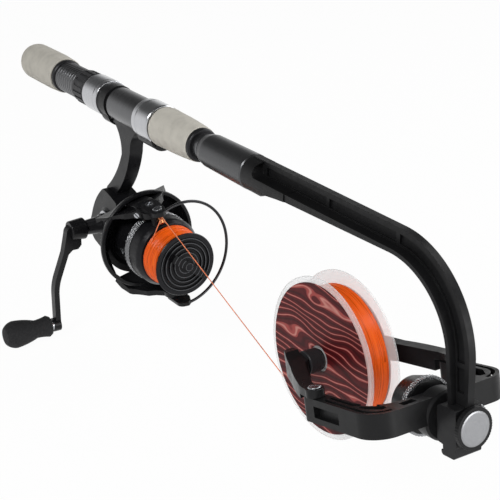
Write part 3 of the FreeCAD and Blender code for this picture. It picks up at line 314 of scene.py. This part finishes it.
def ridged(name, colour, ring_highlight_tone, place, outer, pitch):
    """Turned black face whose raised rings carry bands of painted highlight, with slight painted shade in the
    grooves between them.
    """
    finish = Finish(name, colour, 0.3, Metallic=0.3, Specular_IOR_Level=0.2)
    radius = finish.around(place)[2]
    step = finish.calc("MULTIPLY", finish.calc("SUBTRACT", radius, outer), 2 * math.pi / pitch)
    rings = finish.calc("COSINE", step)
    # Painted highlight and shade: the colour is lighter on each raised ring and darker in the grooves between.
    finish.tint(rings, (0.0, shade(colour, 0.8)), (0.84, colour), (0.95, ring_highlight_tone))
    finish.gloss(finish.noise(finish.spot(place), 300), 0.24, 0.38)
    finish.relief(finish.noise(finish.spot(place), 1500, 2), 0.00002)
    return finish.material


def knurled(name, colour, place, count, pitch):
    """Diamond knurling: two sets of helical ridges that cross, with painted shade in the valleys between them."""
    finish = Finish(name, colour, 0.3, Metallic=1.0)
    station, angle, radius = finish.around(place)
    turn = finish.calc("MULTIPLY", angle, count)
    climb = finish.calc("MULTIPLY", station, 2 * math.pi / pitch)
    ridges = finish.calc("MULTIPLY", finish.calc("SINE", finish.calc("ADD", turn, climb)),
                         finish.calc("SINE", finish.calc("SUBTRACT", turn, climb)))
    peaks = finish.calc("ABSOLUTE", ridges)
    # Painted shade: the knurl's valleys are coloured down to a sixth of the metal's tone, and the peaks keep its
    # full tone.
    finish.tint(peaks, (0.0, shade(colour, 0.16)), (0.3, shade(colour, 0.7)), (0.9, colour))
    finish.gloss(finish.noise(finish.spot(), 900), 0.22, 0.38)
    finish.relief(peaks, 0.0003)
    return finish.material


def strand(name, colour, place, pitch):
    """Wound monofilament: glossy strands whose tone shifts a little from turn to turn."""
    finish = Finish(name, colour, 0.34, Specular_IOR_Level=0.25)
    station, angle, radius = finish.around(place)
    turns = {"X": finish.calc("MULTIPLY", station, 1 / pitch),
             "Y": finish.calc("MULTIPLY", angle, 1.3), "Z": finish.calc("MULTIPLY", radius, 300)}
    shift = finish.noise(finish.add("CombineXYZ", turns).outputs["Vector"], 1, 3)
    finish.tint(shift, (0.28, shade(colour, 0.55)), (0.5, colour), (0.72, shade(colour, 1.35)))
    finish.gloss(shift, 0.2, 0.4)
    ridges = finish.calc("SINE", finish.calc("MULTIPLY", station, 2 * math.pi / pitch))
    finish.relief(ridges, 0.00008)
    return finish.material


def clear(name, colour):
    """Clear styrene: a faint haze that thickens where the wall is seen edge on, and painted shade that greys the
    walls seen edge on.
    """
    finish = Finish(name, colour, 0.06, Specular_IOR_Level=0.35)
    spot = finish.spot(SPOOL)
    facing = finish.add("LayerWeight", {"Blend": 0.42}).outputs["Facing"]
    cloudy = finish.calc("MULTIPLY", finish.noise(spot, 25, 2), 0.25)
    # Painted shade: the colour darkens where the wall is seen edge on, with the haze noise added, for the grey
    # rims of clear plastic.
    finish.tint(finish.calc("ADD", facing, cloudy), (0.3, colour), (0.8, shade(colour, 0.92)),
                (1.0, shade(colour, 0.4)))
    finish.gloss(finish.noise(spot, 90, 3), 0.03, 0.12)
    finish.relief(finish.noise(spot, 60, 1), 0.00002)
    veil = {"Value": facing, "From Min": 0.1, "From Max": 0.9, "To Min": 0.17, "To Max": 0.75}
    finish.feed(finish.shader.inputs["Alpha"], finish.add("MapRange", veil).outputs["Result"])
    return finish.material


def banded_label(name, ground, wave, pale):
    """A printed card: thin uneven wave lines on a dark ground."""
    finish = Finish(name, ground, 0.42, Specular_IOR_Level=0.12)
    slant = SPOOL @ Matrix.Rotation(math.radians(12), 4, "X")
    waves = {"Vector": finish.spot(slant, (1, 2.6, 1)), "Scale": 62.0, "Distortion": 15.0,
             "Detail": 1.0, "Detail Scale": 1.0, "Detail Roughness": 0.3}
    bands = finish.add("TexWave", waves, wave_type="BANDS", bands_direction="Z").outputs["Fac"]
    dark = shade(ground, 0.5)
    finish.tint(bands, (0.0, dark), (0.3, ground), (0.86, ground), (0.93, wave), (0.98, wave),
                (1.0, pale))
    finish.gloss(finish.noise(finish.spot(), 420), 0.34, 0.5)
    finish.relief(finish.noise(finish.spot(), 900, 2), 0.00001)
    return finish.material


# ---------------------------------------------------------------- modelling


def only(piece):
    """Select one object and nothing else."""
    bpy.ops.object.select_all(action="DESELECT")
    piece.select_set(True)
    bpy.context.view_layer.objects.active = piece


def pick(piece, kind, wanted):
    """Select the vertices or faces that a test wants, and go into edit mode."""
    bpy.ops.object.mode_set(mode="EDIT")
    bpy.ops.mesh.select_mode(type={"vertices": "VERT", "polygons": "FACE"}[kind])
    bpy.ops.mesh.select_all(action="DESELECT")
    bpy.ops.object.mode_set(mode="OBJECT")
    for item in getattr(piece.data, kind):
        item.select = wanted(item)
    bpy.ops.object.mode_set(mode="EDIT")


def settle(piece, place):
    """Put a piece that was modelled at the origin in its place, and keep that in its mesh."""
    piece.matrix_world = place
    only(piece)
    bpy.ops.object.transform_apply(location=True, rotation=True, scale=True)


def soften(piece, width, segments, angle):
    """Round the sharp edges, then shade the faces smooth between them."""
    only(piece)
    if width:
        bevel = piece.modifiers.new("Soft edges", "BEVEL")
        bevel.limit_method, bevel.angle_limit = "ANGLE", math.radians(angle)
        bevel.width, bevel.segments = width, segments
        bpy.ops.object.modifier_apply(modifier=bevel.name)
    bpy.ops.object.shade_smooth_by_angle(angle=math.radians(angle))
    weights = piece.modifiers.new("Face weights", "WEIGHTED_NORMAL")
    weights.keep_sharp = True
    bpy.ops.object.modifier_apply(modifier=weights.name)


def finished(piece, material, body):
    """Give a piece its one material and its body."""
    piece.data.materials.clear()
    piece.data.materials.append(material)
    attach(piece, body)
    return piece


def welded(node, whole=True):
    """A copy of a solid's mesh with its loose triangles joined, into whole faces if asked."""
    piece = bpy.data.objects.new(node + "_dressed", frame["nodes"][node].data.copy())
    bpy.context.scene.collection.objects.link(piece)
    only(piece)
    bpy.ops.mesh.customdata_custom_splitnormals_clear()
    bpy.ops.object.mode_set(mode="EDIT")
    bpy.ops.mesh.select_all(action="SELECT")
    bpy.ops.mesh.remove_doubles(threshold=WELD)
    if whole:
        bpy.ops.mesh.dissolve_limited(angle_limit=math.radians(0.5))
    bpy.ops.object.mode_set(mode="OBJECT")
    return piece


def dressed(node, material, width=0.25 * MM, segments=2, angle=32, whole=True):
    """A solid's own shape with softened edges and a worked finish, in the solid's place."""
    piece = welded(node, whole)
    soften(piece, width, segments, angle)
    finished(piece, material, BODY_OF[node])
    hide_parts(node)
    return piece


def slotted_screw(name, place, radius, height, body, material):
    """A pan-head screw with a driver slot. Its seat is at the place and its head along local X."""
    bpy.ops.mesh.primitive_cylinder_add(vertices=32, radius=radius, depth=height,
                                        location=(0, 0, height / 2))
    screw = bpy.context.object
    screw.name = name
    half_slot = radius * 0.16
    for side in (-1, 1):
        pick(screw, "polygons", lambda face: face.normal.z > 0.9)
        bpy.ops.mesh.bisect(plane_co=(side * half_slot, 0, 0), plane_no=(1, 0, 0))
        bpy.ops.object.mode_set(mode="OBJECT")
    pick(screw, "polygons", lambda face: face.normal.z > 0.9 and abs(face.center.x) < half_slot)
    bpy.ops.mesh.extrude_region_move(TRANSFORM_OT_translate={"value": (0, 0, -height * 0.45)})
    bpy.ops.object.mode_set(mode="OBJECT")
    settle(screw, Matrix.Rotation(math.radians(35), 4, "Z"))
    settle(screw, place @ Matrix.Rotation(math.radians(90), 4, "Y"))
    soften(screw, height * 0.18, 2, 40)
    return finished(screw, material, body)


def profiled(name, outline, depth, place, body, material):
    """A prism: an outline in a place's XY plane, in millimetres, drawn out along its Z."""
    bpy.ops.mesh.primitive_circle_add(vertices=len(outline), radius=1 * MM, fill_type="NGON")
    piece = bpy.context.object
    piece.name = name
    starts = [vertex.co.copy() for vertex in piece.data.vertices]
    for number, (start, corner) in enumerate(zip(starts, outline)):
        pick(piece, "vertices", lambda vertex: vertex.index == number)
        bpy.ops.transform.translate(value=Vector((*corner, 0)) * MM - start)
        bpy.ops.object.mode_set(mode="OBJECT")
    pick(piece, "polygons", lambda face: True)
    bpy.ops.mesh.extrude_region_move(TRANSFORM_OT_translate={"value": (0, 0, depth)})
    bpy.ops.mesh.select_all(action="SELECT")
    bpy.ops.mesh.normals_make_consistent(inside=False)
    bpy.ops.object.mode_set(mode="OBJECT")
    settle(piece, place)
    soften(piece, 0.6 * MM, 3, 20)
    return finished(piece, material, body)


def wound(name, node, place, turns, inner, taper, material):
    """Line wound in close turns over a core: a scalloped profile spun about the local X axis."""
    size = extent(node)
    width, outer = min(size), max(size) / 2
    groove = width / turns * 0.32
    bpy.ops.mesh.primitive_grid_add(x_subdivisions=4 * turns, y_subdivisions=1, size=1)
    winding = bpy.context.object
    winding.name = name
    pick(winding, "vertices", lambda vertex: vertex.co.y > 0)
    bpy.ops.mesh.delete(type="VERT")
    bpy.ops.mesh.select_all(action="SELECT")
    bpy.ops.transform.resize(value=(width, 1, 1))
    bpy.ops.transform.translate(value=(0, 0.5 + outer, 0))
    bpy.ops.object.mode_set(mode="OBJECT")
    step = width / turns / 4
    for phase, drop in ((0, groove), (1, groove * 0.3), (3, groove * 0.3)):
        pick(winding, "vertices",
             lambda vertex: round((vertex.co.x + width / 2) / step) % 4 == phase)
        bpy.ops.transform.translate(value=(0, -drop, 0))
        bpy.ops.object.mode_set(mode="OBJECT")
    falls = 8
    for fall in range(1, falls + 1):
        reach = width * (fall / falls - 0.5) - step / 2
        pick(winding, "vertices", lambda vertex: vertex.co.x > reach)
        bpy.ops.transform.translate(value=(0, -taper / falls, 0))
        bpy.ops.object.mode_set(mode="OBJECT")
    pick(winding, "vertices", lambda vertex: abs(vertex.co.x) > width / 2 - step / 2)
    bpy.ops.mesh.extrude_vertices_move()
    bpy.ops.transform.resize(value=(1, 0, 1), center_override=(0, inner, 0))
    bpy.ops.mesh.edge_face_add()
    bpy.ops.mesh.select_all(action="SELECT")
    bpy.ops.mesh.spin(steps=96, angle=2 * math.pi, center=(0, 0, 0), axis=(1, 0, 0))
    bpy.ops.mesh.select_all(action="SELECT")
    bpy.ops.mesh.remove_doubles(threshold=WELD)
    bpy.ops.mesh.normals_make_consistent(inside=False)
    bpy.ops.object.mode_set(mode="OBJECT")
    settle(winding, place)
    bpy.ops.object.shade_smooth_by_angle(angle=math.radians(60))
    finished(winding, material, BODY_OF[node])
    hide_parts(node)
    return winding


# ---------------------------------------------------------------- properties


def length(name, text, default):
    """A length property that can't be negative."""
    return FloatProperty(name=name, description=text, default=default, min=0.0, unit="LENGTH",
                         subtype="DISTANCE")


def tone(name, text, red, green, blue):
    """A colour property whose default is given as the eight-bit numbers of a paint chart."""
    linear = [((channel / 255 + 0.055) / 1.055) ** 2.4 for channel in (red, green, blue)]
    return FloatVectorProperty(name=name, description=text, default=linear, min=0.0, max=1.0,
                               subtype="COLOR")


class WinderSizes(bpy.types.PropertyGroup):
    """Sizes that the solids leave to the dressing."""

    soft_edge: length("Soft edge", "Rounding on the edges of moulded pieces", 0.4 * MM)
    fine_edge: length("Fine edge", "Rounding on the edges of turned pieces", 0.2 * MM)
    line_diameter: length("Line diameter", "Diameter of the fishing line", 0.7 * MM)
    knurl_pitch: length("Knurl pitch", "Step of the knurling along a ring", 1.6 * MM)
    knurl_count: IntProperty(name="Knurl count", description="Knurl ridges round a ring",
                             default=30, min=8)
    filler_turns: IntProperty(name="Filler turns", default=25, min=4,
                              description="Turns of line side by side on the filler spool")
    reel_turns: IntProperty(name="Reel turns", default=22, min=4,
                            description="Turns of line side by side on the reel spool")
    screw_radius: length("Screw radius", "Head radius of the bail's screws", 3.0 * MM)


class WinderColours(bpy.types.PropertyGroup):
    """Colours of the winder's finishes."""

    foam: tone("Grip foam", "Warm grey foam of the grips", 203, 199, 189)
    silver: tone("Silver", "Bright turned aluminium", 186, 187, 190)
    steel: tone("Steel", "Screws and spindles", 176, 178, 182)
    seat: tone("Tube satin", "Dark satin of the reel seat and sleeve", 54, 54, 56)
    moulding: tone("Moulding", "Black nylon of the arm and fork", 26, 26, 27)
    reel: tone("Reel", "Black paint of the reel", 22, 22, 24)
    spool: tone("Reel spool", "Black anodising of the reel spool", 28, 28, 31)
    # Painted highlight: the tone of the bright bands painted on the drag knob's raised rings.
    knob_ring_highlight: tone("Painted ring highlight", "Painted highlights on the drag knob's rings", 84, 85, 88)
    knob_foam: tone("Knob foam", "Charcoal foam of the crank's knob", 28, 28, 30)
    clear: tone("Clear plastic", "Clear filler spool", 253, 254, 255)
    line: tone("Line", "Orange fishing line", 250, 98, 18)
    # Painted highlight: the same orange line, coloured paler where it runs single and taut, for the highlights it
    # catches.
    taut: tone("Taut line", "The single strand between the spools", 244, 138, 96)
    label: tone("Label", "Dark red ground of the label", 84, 20, 24)
    label_wave: tone("Label wave", "Salmon waves of the label", 164, 74, 70)
    label_pale: tone("Label pale", "Palest wave of the label", 200, 136, 126)
    copper: tone("Copper", "Line roller", 196, 128, 86)


# ---------------------------------------------------------------- operators


class Dressing:
    """What every operator of the winder shares."""

    bl_options = {"REGISTER", "UNDO"}

    def execute(self, context):
        self.dress(context.scene.winder_sizes, context.scene.winder_colours)
        return {"FINISHED"}


class WINDER_OT_stage(Dressing, bpy.types.Operator):
    """Set the floor, the soft lights and the camera"""

    bl_idname = "winder.stage"
    bl_label = "Stage"

    def dress(self, sizes, colours):
        low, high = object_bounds()
        centre = (low + high) / 2
        self.floor(centre, low.z)
        self.surroundings()
        for name, offset, width, power in LAMPS:
            self.lamp(name, centre + Vector(offset), centre, width, power)
        self.camera()
        bpy.context.scene.view_settings.view_transform = "Standard"

    def floor(self, centre, height):
        """A pale floor that shows white to the camera but keeps part of its shadow."""
        bpy.ops.mesh.primitive_plane_add(size=12, location=(centre.x, centre.y, height))
        floor = bpy.context.object
        floor.name = "floor"
        finish = Finish("Pale floor", (0.9, 0.9, 0.9), 0.9)
        finish.tint(finish.noise(finish.spot(), 3, 2), (0.3, (0.88, 0.88, 0.88)),
                    (0.7, (0.92, 0.92, 0.92)))
        tree = finish.material.node_tree
        white = finish.add("Emission", {"Color": (1, 1, 1, 1), "Strength": 1.0})
        rays = finish.add("LightPath", {}).outputs
        seen = finish.calc("MULTIPLY", rays["Is Camera Ray"], 0.97)
        mirrored = finish.calc("MAXIMUM", rays["Is Glossy Ray"], rays["Is Transmission Ray"])
        share = finish.calc("MAXIMUM", seen, mirrored)
        mixed = finish.add("MixShader", {0: share, 1: finish.shader.outputs["BSDF"],
                                         2: white.outputs["Emission"]})
        tree.links.new(mixed.outputs["Shader"], tree.nodes["Material Output"].inputs["Surface"])
        floor.data.materials.append(finish.material)
        floor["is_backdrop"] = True

    def surroundings(self):
        """A room that is white behind the object and in its mirrors, and grey overhead."""
        world = bpy.data.worlds.new("Soft white room")
        bpy.context.scene.world = world
        world.use_nodes = True
        nodes, links = world.node_tree.nodes, world.node_tree.links
        light = nodes["Background"]
        light.inputs["Strength"].default_value = 0.5
        white = nodes.new("ShaderNodeBackground")
        white.inputs["Color"].default_value = (1, 1, 1, 1)
        white.inputs["Strength"].default_value = 1.0
        coords = nodes.new("ShaderNodeTexCoord")
        parts = nodes.new("ShaderNodeSeparateXYZ")
        links.new(coords.outputs["Generated"], parts.inputs[0])
        wall = nodes.new("ShaderNodeMapRange")
        for word, value in (("From Min", 0.12), ("From Max", 0.42), ("To Min", 1), ("To Max", 0)):
            wall.inputs[word].default_value = value
        links.new(parts.outputs["Z"], wall.inputs["Value"])
        greys = nodes.new("ShaderNodeValToRGB")
        greys.color_ramp.elements[0].color = (0.2, 0.2, 0.2, 1)
        links.new(wall.outputs["Result"], greys.inputs["Fac"])
        links.new(greys.outputs["Color"], light.inputs["Color"])
        rays = nodes.new("ShaderNodeLightPath")
        seen, mirrored, shown = (nodes.new("ShaderNodeMath") for _ in range(3))
        seen.operation, mirrored.operation, shown.operation = "MAXIMUM", "MULTIPLY", "MAXIMUM"
        links.new(rays.outputs["Is Camera Ray"], seen.inputs[0])
        links.new(rays.outputs["Is Transmission Ray"], seen.inputs[1])
        links.new(rays.outputs["Is Glossy Ray"], mirrored.inputs[0])
        links.new(wall.outputs["Result"], mirrored.inputs[1])
        links.new(seen.outputs[0], shown.inputs[0])
        links.new(mirrored.outputs[0], shown.inputs[1])
        mixed = nodes.new("ShaderNodeMixShader")
        links.new(shown.outputs[0], mixed.inputs[0])
        links.new(light.outputs[0], mixed.inputs[1])
        links.new(white.outputs[0], mixed.inputs[2])
        links.new(mixed.outputs[0], nodes["World Output"].inputs["Surface"])

    def lamp(self, name, spot, target, width, power):
        """A round soft lamp that faces a point."""
        data = bpy.data.lights.new(name, "AREA")
        data.shape, data.size, data.energy = "DISK", width, power
        lamp = bpy.data.objects.new(name, data)
        bpy.context.scene.collection.objects.link(lamp)
        lamp.location = spot
        lamp.rotation_euler = (target - lamp.location).to_track_quat("-Z", "Y").to_euler()

    def camera(self):
        """The camera that gives the photograph's view."""
        data = bpy.data.cameras.new("Camera")
        data.lens, data.sensor_width = LENS, SENSOR
        data.clip_start, data.clip_end = 0.05, 20
        camera = bpy.data.objects.new("Camera", data)
        bpy.context.scene.collection.objects.link(camera)
        eye, target = Vector(EYE), Vector(TARGET)
        roll = Matrix.Rotation(math.radians(ROLL), 4, "Z")
        aim = (target - eye).to_track_quat("-Z", "Y").to_matrix().to_4x4()
        camera.matrix_world = Matrix.Translation(eye) @ aim @ roll
        bpy.context.scene.camera = camera


class WINDER_OT_line(Dressing, bpy.types.Operator):
    """Run the taut line from the reel's roller to the filler spool"""

    bl_idname = "winder.line"
    bl_label = "Line"

    def dress(self, sizes, colours):
        data = bpy.data.curves.new("taut_line", "CURVE")
        data.dimensions = "3D"
        data.bevel_depth, data.bevel_resolution = sizes.line_diameter / 2, 3
        data.use_fill_caps = True
        spline = data.splines.new("NURBS")
        spline.points.add(len(LINE_ROUTE) - 1)
        for point, place in zip(spline.points, LINE_ROUTE):
            point.co = (*place, 1)
        spline.order_u, spline.use_endpoint_u, spline.resolution_u = 3, True, 8
        line = bpy.data.objects.new("taut_line", data)
        bpy.context.scene.collection.objects.link(line)
        along = place_at(LINE_ROUTE[2], Vector(LINE_ROUTE[-1]) - Vector(LINE_ROUTE[2]), UP)
        # The taut strand takes the paler line colour, a painted highlight.
        finished(line, strand("Line strand", colours.taut, along, 4 * MM), "handle")
        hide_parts("line")


class WINDER_OT_grips(Dressing, bpy.types.Operator):
    """Dress the foam grips, their collars, the tube and the sleeve"""

    bl_idname = "winder.grips"
    bl_label = "Grips and tube"

    def dress(self, sizes, colours):
        grip = foam("Grip foam", colours.foam, 1500)
        satin = brushed("Satin tube", shade(colours.seat, 0.7), HANDLE, 0.34, 0.5)
        sleeve = brushed("Sleeve satin", shade(colours.silver, 0.2), HANDLE, 0.32, 0.9)
        gunmetal = brushed("Ferrule metal", shade(colours.silver, 0.3), HANDLE, 0.24, 0.9)
        for node in ("butt_grip", "foregrip"):
            dressed(node, grip, 0.6 * MM, 3)
        for node in ("butt_collar", "foregrip_collar", "core_tube"):
            dressed(node, satin, sizes.fine_edge)
        dressed("sleeve", sleeve, sizes.fine_edge)
        dressed("ferrule", gunmetal, sizes.fine_edge)


class WINDER_OT_seat(Dressing, bpy.types.Operator):
    """Dress the reel seat, its nut and its hoods"""

    bl_idname = "winder.seat"
    bl_label = "Reel seat"

    def dress(self, sizes, colours):
        dressed("seat_tube", brushed("Tube satin", shade(colours.silver, 0.26), HANDLE, 0.3, 0.95),
                sizes.fine_edge)
        dressed("lock_nut", moulded("Nut moulding", shade(colours.seat, 0.8), 0.4),
                sizes.fine_edge)
        silver = brushed("Hood silver", colours.silver, HANDLE, 0.2)
        for node in ("hood_barrel", "fixed_hood_ring"):
            dressed(node, silver, sizes.fine_edge)
        hood = moulded("Hood moulding", colours.moulding, 0.34)
        for node in ("sliding_hood", "fixed_hood"):
            dressed(node, hood, sizes.soft_edge, whole=False)


class WINDER_OT_arm(Dressing, bpy.types.Operator):
    """Dress the arm, its end block and the block's controls"""

    bl_idname = "winder.arm"
    bl_label = "Arm and end block"

    def dress(self, sizes, colours):
        black = moulded("Arm moulding", colours.moulding, 0.38)
        dressed("arm", black, sizes.soft_edge, 3)
        dressed("end_block", moulded("Block moulding", shade(colours.moulding, 1.35), 0.36),
                sizes.soft_edge, 3)
        dressed("knob_ring", moulded("Knob moulding", colours.moulding, 0.4), sizes.fine_edge)
        dressed("knob_disc", brushed("Knob disc", shade(colours.silver, 0.64), HUB, 0.34),
                sizes.fine_edge)
        dressed("side_wheel", brushed("Side wheel", colours.silver, SIDE_WHEEL, 0.26),
                sizes.fine_edge)
        dressed("detent_button", brushed("Button", colours.seat, BUTTON, 0.3, 0.4),
                sizes.fine_edge)


class WINDER_OT_fork(Dressing, bpy.types.Operator):
    """Dress the fork, its spigot and screws, and the tension wheel"""

    bl_idname = "winder.fork"
    bl_label = "Fork"

    def dress(self, sizes, colours):
        dressed("fork_frame", moulded("Fork moulding", colours.moulding, 0.38), sizes.soft_edge, 3)
        steel = brushed("Spigot steel", colours.steel, HUB, 0.28)
        dressed("fork_spigot", steel, sizes.fine_edge)
        for word in ("left", "right"):
            pin = place_at(middle("pivot_screw_" + word), FORK_UP, ALONG)
            dressed("pivot_screw_" + word, brushed("Pivot steel " + word, colours.steel, pin, 0.25),
                    0.15 * MM)
        dressed("tension_drum", moulded("Drum moulding", colours.moulding, 0.3), sizes.soft_edge)
        dressed("tension_band", knurled("Knurled band", colours.silver, HUB, sizes.knurl_count,
                                        sizes.knurl_pitch), 0.1 * MM)


class WINDER_OT_levers(Dressing, bpy.types.Operator):
    """Dress the sprung levers and their cones"""

    bl_idname = "winder.levers"
    bl_label = "Levers and cones"

    def dress(self, sizes, colours):
        black = moulded("Lever moulding", shade(colours.moulding, 1.15), 0.32)
        cone = brushed("Cone", colours.seat, SPOOL, 0.3, 0.2)
        for word in ("left", "right"):
            dressed("lever_" + word, black, 0.6 * MM, 3)
            dressed("cone_" + word, cone, sizes.fine_edge)


class WINDER_OT_filler(Dressing, bpy.types.Operator):
    """Dress the filler spool, its labels and the line wound on it"""

    bl_idname = "winder.filler"
    bl_label = "Filler spool"

    def dress(self, sizes, colours):
        dressed("filler_spool", clear("Clear spool", colours.clear), sizes.fine_edge, angle=40)
        label = banded_label("Banded label", colours.label, colours.label_wave, colours.label_pale)
        for word in ("left", "right"):
            dressed("filler_label_" + word, label, 0)
        pitch = min(extent("filler_winding")) / sizes.filler_turns
        wound("filler_line", "filler_winding", SPOOL, sizes.filler_turns, FILLER_CORE, 0,
              strand("Filler strand", colours.line, SPOOL, pitch))


class WINDER_OT_reel_body(Dressing, bpy.types.Operator):
    """Dress the reel's body and leg"""

    bl_idname = "winder.reel_body"
    bl_label = "Reel body"

    def dress(self, sizes, colours):
        dressed("reel_body", painted("Reel paint", colours.reel, 0.3), 1.2 * MM, 4, 30)
        dressed("body_ring", brushed("Body ring", colours.silver, CRANK, 0.26), sizes.fine_edge)


class WINDER_OT_rotor(Dressing, bpy.types.Operator):
    """Dress the rotor, the bail and the line roller"""

    bl_idname = "winder.rotor"
    bl_label = "Rotor and bail"

    def dress(self, sizes, colours):
        paint = painted("Rotor paint", colours.reel, 0.26)
        dressed("rotor", paint, 0.7 * MM, 3)
        for node in ("bail_arm", "bail_foot"):
            dressed(node, painted("Bail paint " + node, colours.reel, 0.3), 0.6 * MM, 3)
        dressed("bail_wire", brushed("Bail wire", colours.seat, ROTOR, 0.2, 0.8), 0)
        dressed("roller_cover", brushed("Roller cover", colours.steel, ROLLER, 0.24), 0.2 * MM)
        dressed("line_roller", brushed("Roller copper", colours.copper, ROLLER, 0.16), 0.1 * MM)
        steel = brushed("Bail screw steel", colours.steel, ROLLER, 0.24)
        bail = Vector(JOINTS["bail_flip"]["pos_m"])
        axis = Vector(JOINTS["bail_flip"]["axis"])
        centre = bail - axis * axis.dot(bail - ROTOR.translation)
        for word, reach in BAIL_SCREWS:
            outward = axis * math.copysign(1, reach)
            slotted_screw("bail_screw_" + word, place_at(centre + axis * reach, outward, ALONG),
                          sizes.screw_radius, 1.3 * MM, "bail", steel)
        self.shoulder(sizes, colours, paint, axis)

    def shoulder(self, sizes, colours, paint, axis):
        """The deep sides of the upper arm, with the screws on the rotor's near side."""
        near = axis.cross(ALONG) * -1
        profiled("arm_shoulder", SHOULDER, SHOULDER_WIDTH * MM,
                 place_at(on_rotor(0, SHOULDER_WIDTH / 2, 0), ALONG, near), "rotor",
                 paint)
        steel = brushed("Rotor screw steel", colours.steel, ROTOR, 0.24)
        for word, (station, across, up), share in ROTOR_SCREWS:
            seat = on_rotor(station, across, up)
            outward = {"arm_screw": near * 3 + ALONG * 2, "arm_dot": near,
                       "cup_screw": seat - on_rotor(station, 0, 0)}[word]
            slotted_screw(word, place_at(seat, outward, ALONG), share * sizes.screw_radius,
                          0.7 * MM, "rotor", steel)


class WINDER_OT_reel_spool(Dressing, bpy.types.Operator):
    """Dress the reel's spool, its drag knob and the line wound on it"""

    bl_idname = "winder.reel_spool"
    bl_label = "Reel spool"

    def dress(self, sizes, colours):
        dressed("reel_spool", brushed("Spool anodising", colours.spool, REEL, 0.28, 0.25),
                sizes.fine_edge)
        dressed("skirt_ring", knurled("Skirt knurling", colours.silver, REEL, sizes.knurl_count,
                                      sizes.knurl_pitch), 0.1 * MM)
        dressed("main_shaft", brushed("Blacked shaft", colours.spool, REEL, 0.3, 0.4),
                sizes.fine_edge)
        # The drag knob's raised rings get bands of painted highlight in this lighter tone.
        dressed("drag_knob", ridged("Drag knob", shade(colours.spool, 0.6), colours.knob_ring_highlight, REEL,
                                    KNOB_RING, KNOB_STEP), 0.35 * MM, 3)
        pitch = min(extent("reel_winding")) / sizes.reel_turns
        wound("reel_line", "reel_winding", REEL, sizes.reel_turns, REEL_CORE, REEL_TAPER,
              strand("Reel strand", colours.line, REEL, pitch))


class WINDER_OT_crank(Dressing, bpy.types.Operator):
    """Dress the crank and its knob"""

    bl_idname = "winder.crank"
    bl_label = "Crank"

    def dress(self, sizes, colours):
        dressed("crank_shaft", brushed("Crank shaft", colours.seat, CRANK, 0.24, 0.5),
                sizes.fine_edge)
        paint = painted("Crank paint", colours.reel, 0.26)
        dressed("crank_arm", paint, 0.8 * MM, 3)
        bpy.ops.mesh.primitive_cone_add(vertices=64, radius1=BOSS_RADII[0], radius2=BOSS_RADII[1],
                                        depth=BOSS_LENGTH)
        boss = bpy.context.object
        boss.name = "crank_boss"
        settle(boss, CRANK @ Matrix.Translation((BOSS_REACH, 0, 0))
               @ Matrix.Rotation(math.radians(90), 4, "Y"))
        soften(boss, 0.9 * MM, 3, 40)
        finished(boss, paint, "crank")
        dressed("knob_pin", brushed("Pin steel", colours.steel, KNOB, 0.24), sizes.fine_edge)
        dressed("crank_knob", foam("Knob foam", colours.knob_foam, 1300), 0.5 * MM)


OPERATORS = (WINDER_OT_stage, WINDER_OT_line, WINDER_OT_grips, WINDER_OT_seat, WINDER_OT_arm,
             WINDER_OT_fork, WINDER_OT_levers, WINDER_OT_filler, WINDER_OT_reel_body,
             WINDER_OT_rotor, WINDER_OT_reel_spool, WINDER_OT_crank)


class WINDER_PT_pieces(bpy.types.Panel):
    """The winder's groups of pieces, with the sizes and colours they use"""

    bl_label = "Line winder"
    bl_space_type = "VIEW_3D"
    bl_region_type = "UI"
    bl_category = "Winder"

    def draw(self, context):
        for operator in OPERATORS:
            self.layout.operator(operator.bl_idname)
        for group in (context.scene.winder_sizes, context.scene.winder_colours):
            for word in group.__annotations__:
                self.layout.prop(group, word)


CLASSES = (WinderSizes, WinderColours, *OPERATORS, WINDER_PT_pieces)


def register():
    for item in CLASSES:
        bpy.utils.register_class(item)
    bpy.types.Scene.winder_sizes = PointerProperty(type=WinderSizes)
    bpy.types.Scene.winder_colours = PointerProperty(type=WinderColours)


def unregister():
    del bpy.types.Scene.winder_sizes
    del bpy.types.Scene.winder_colours
    for item in reversed(CLASSES):
        bpy.utils.unregister_class(item)


def main():
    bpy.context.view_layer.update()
    register()
    for operator in OPERATORS:
        group, word = operator.bl_idname.split(".")
        getattr(getattr(bpy.ops, group), word)()


if __name__ == "__main__":
    main()
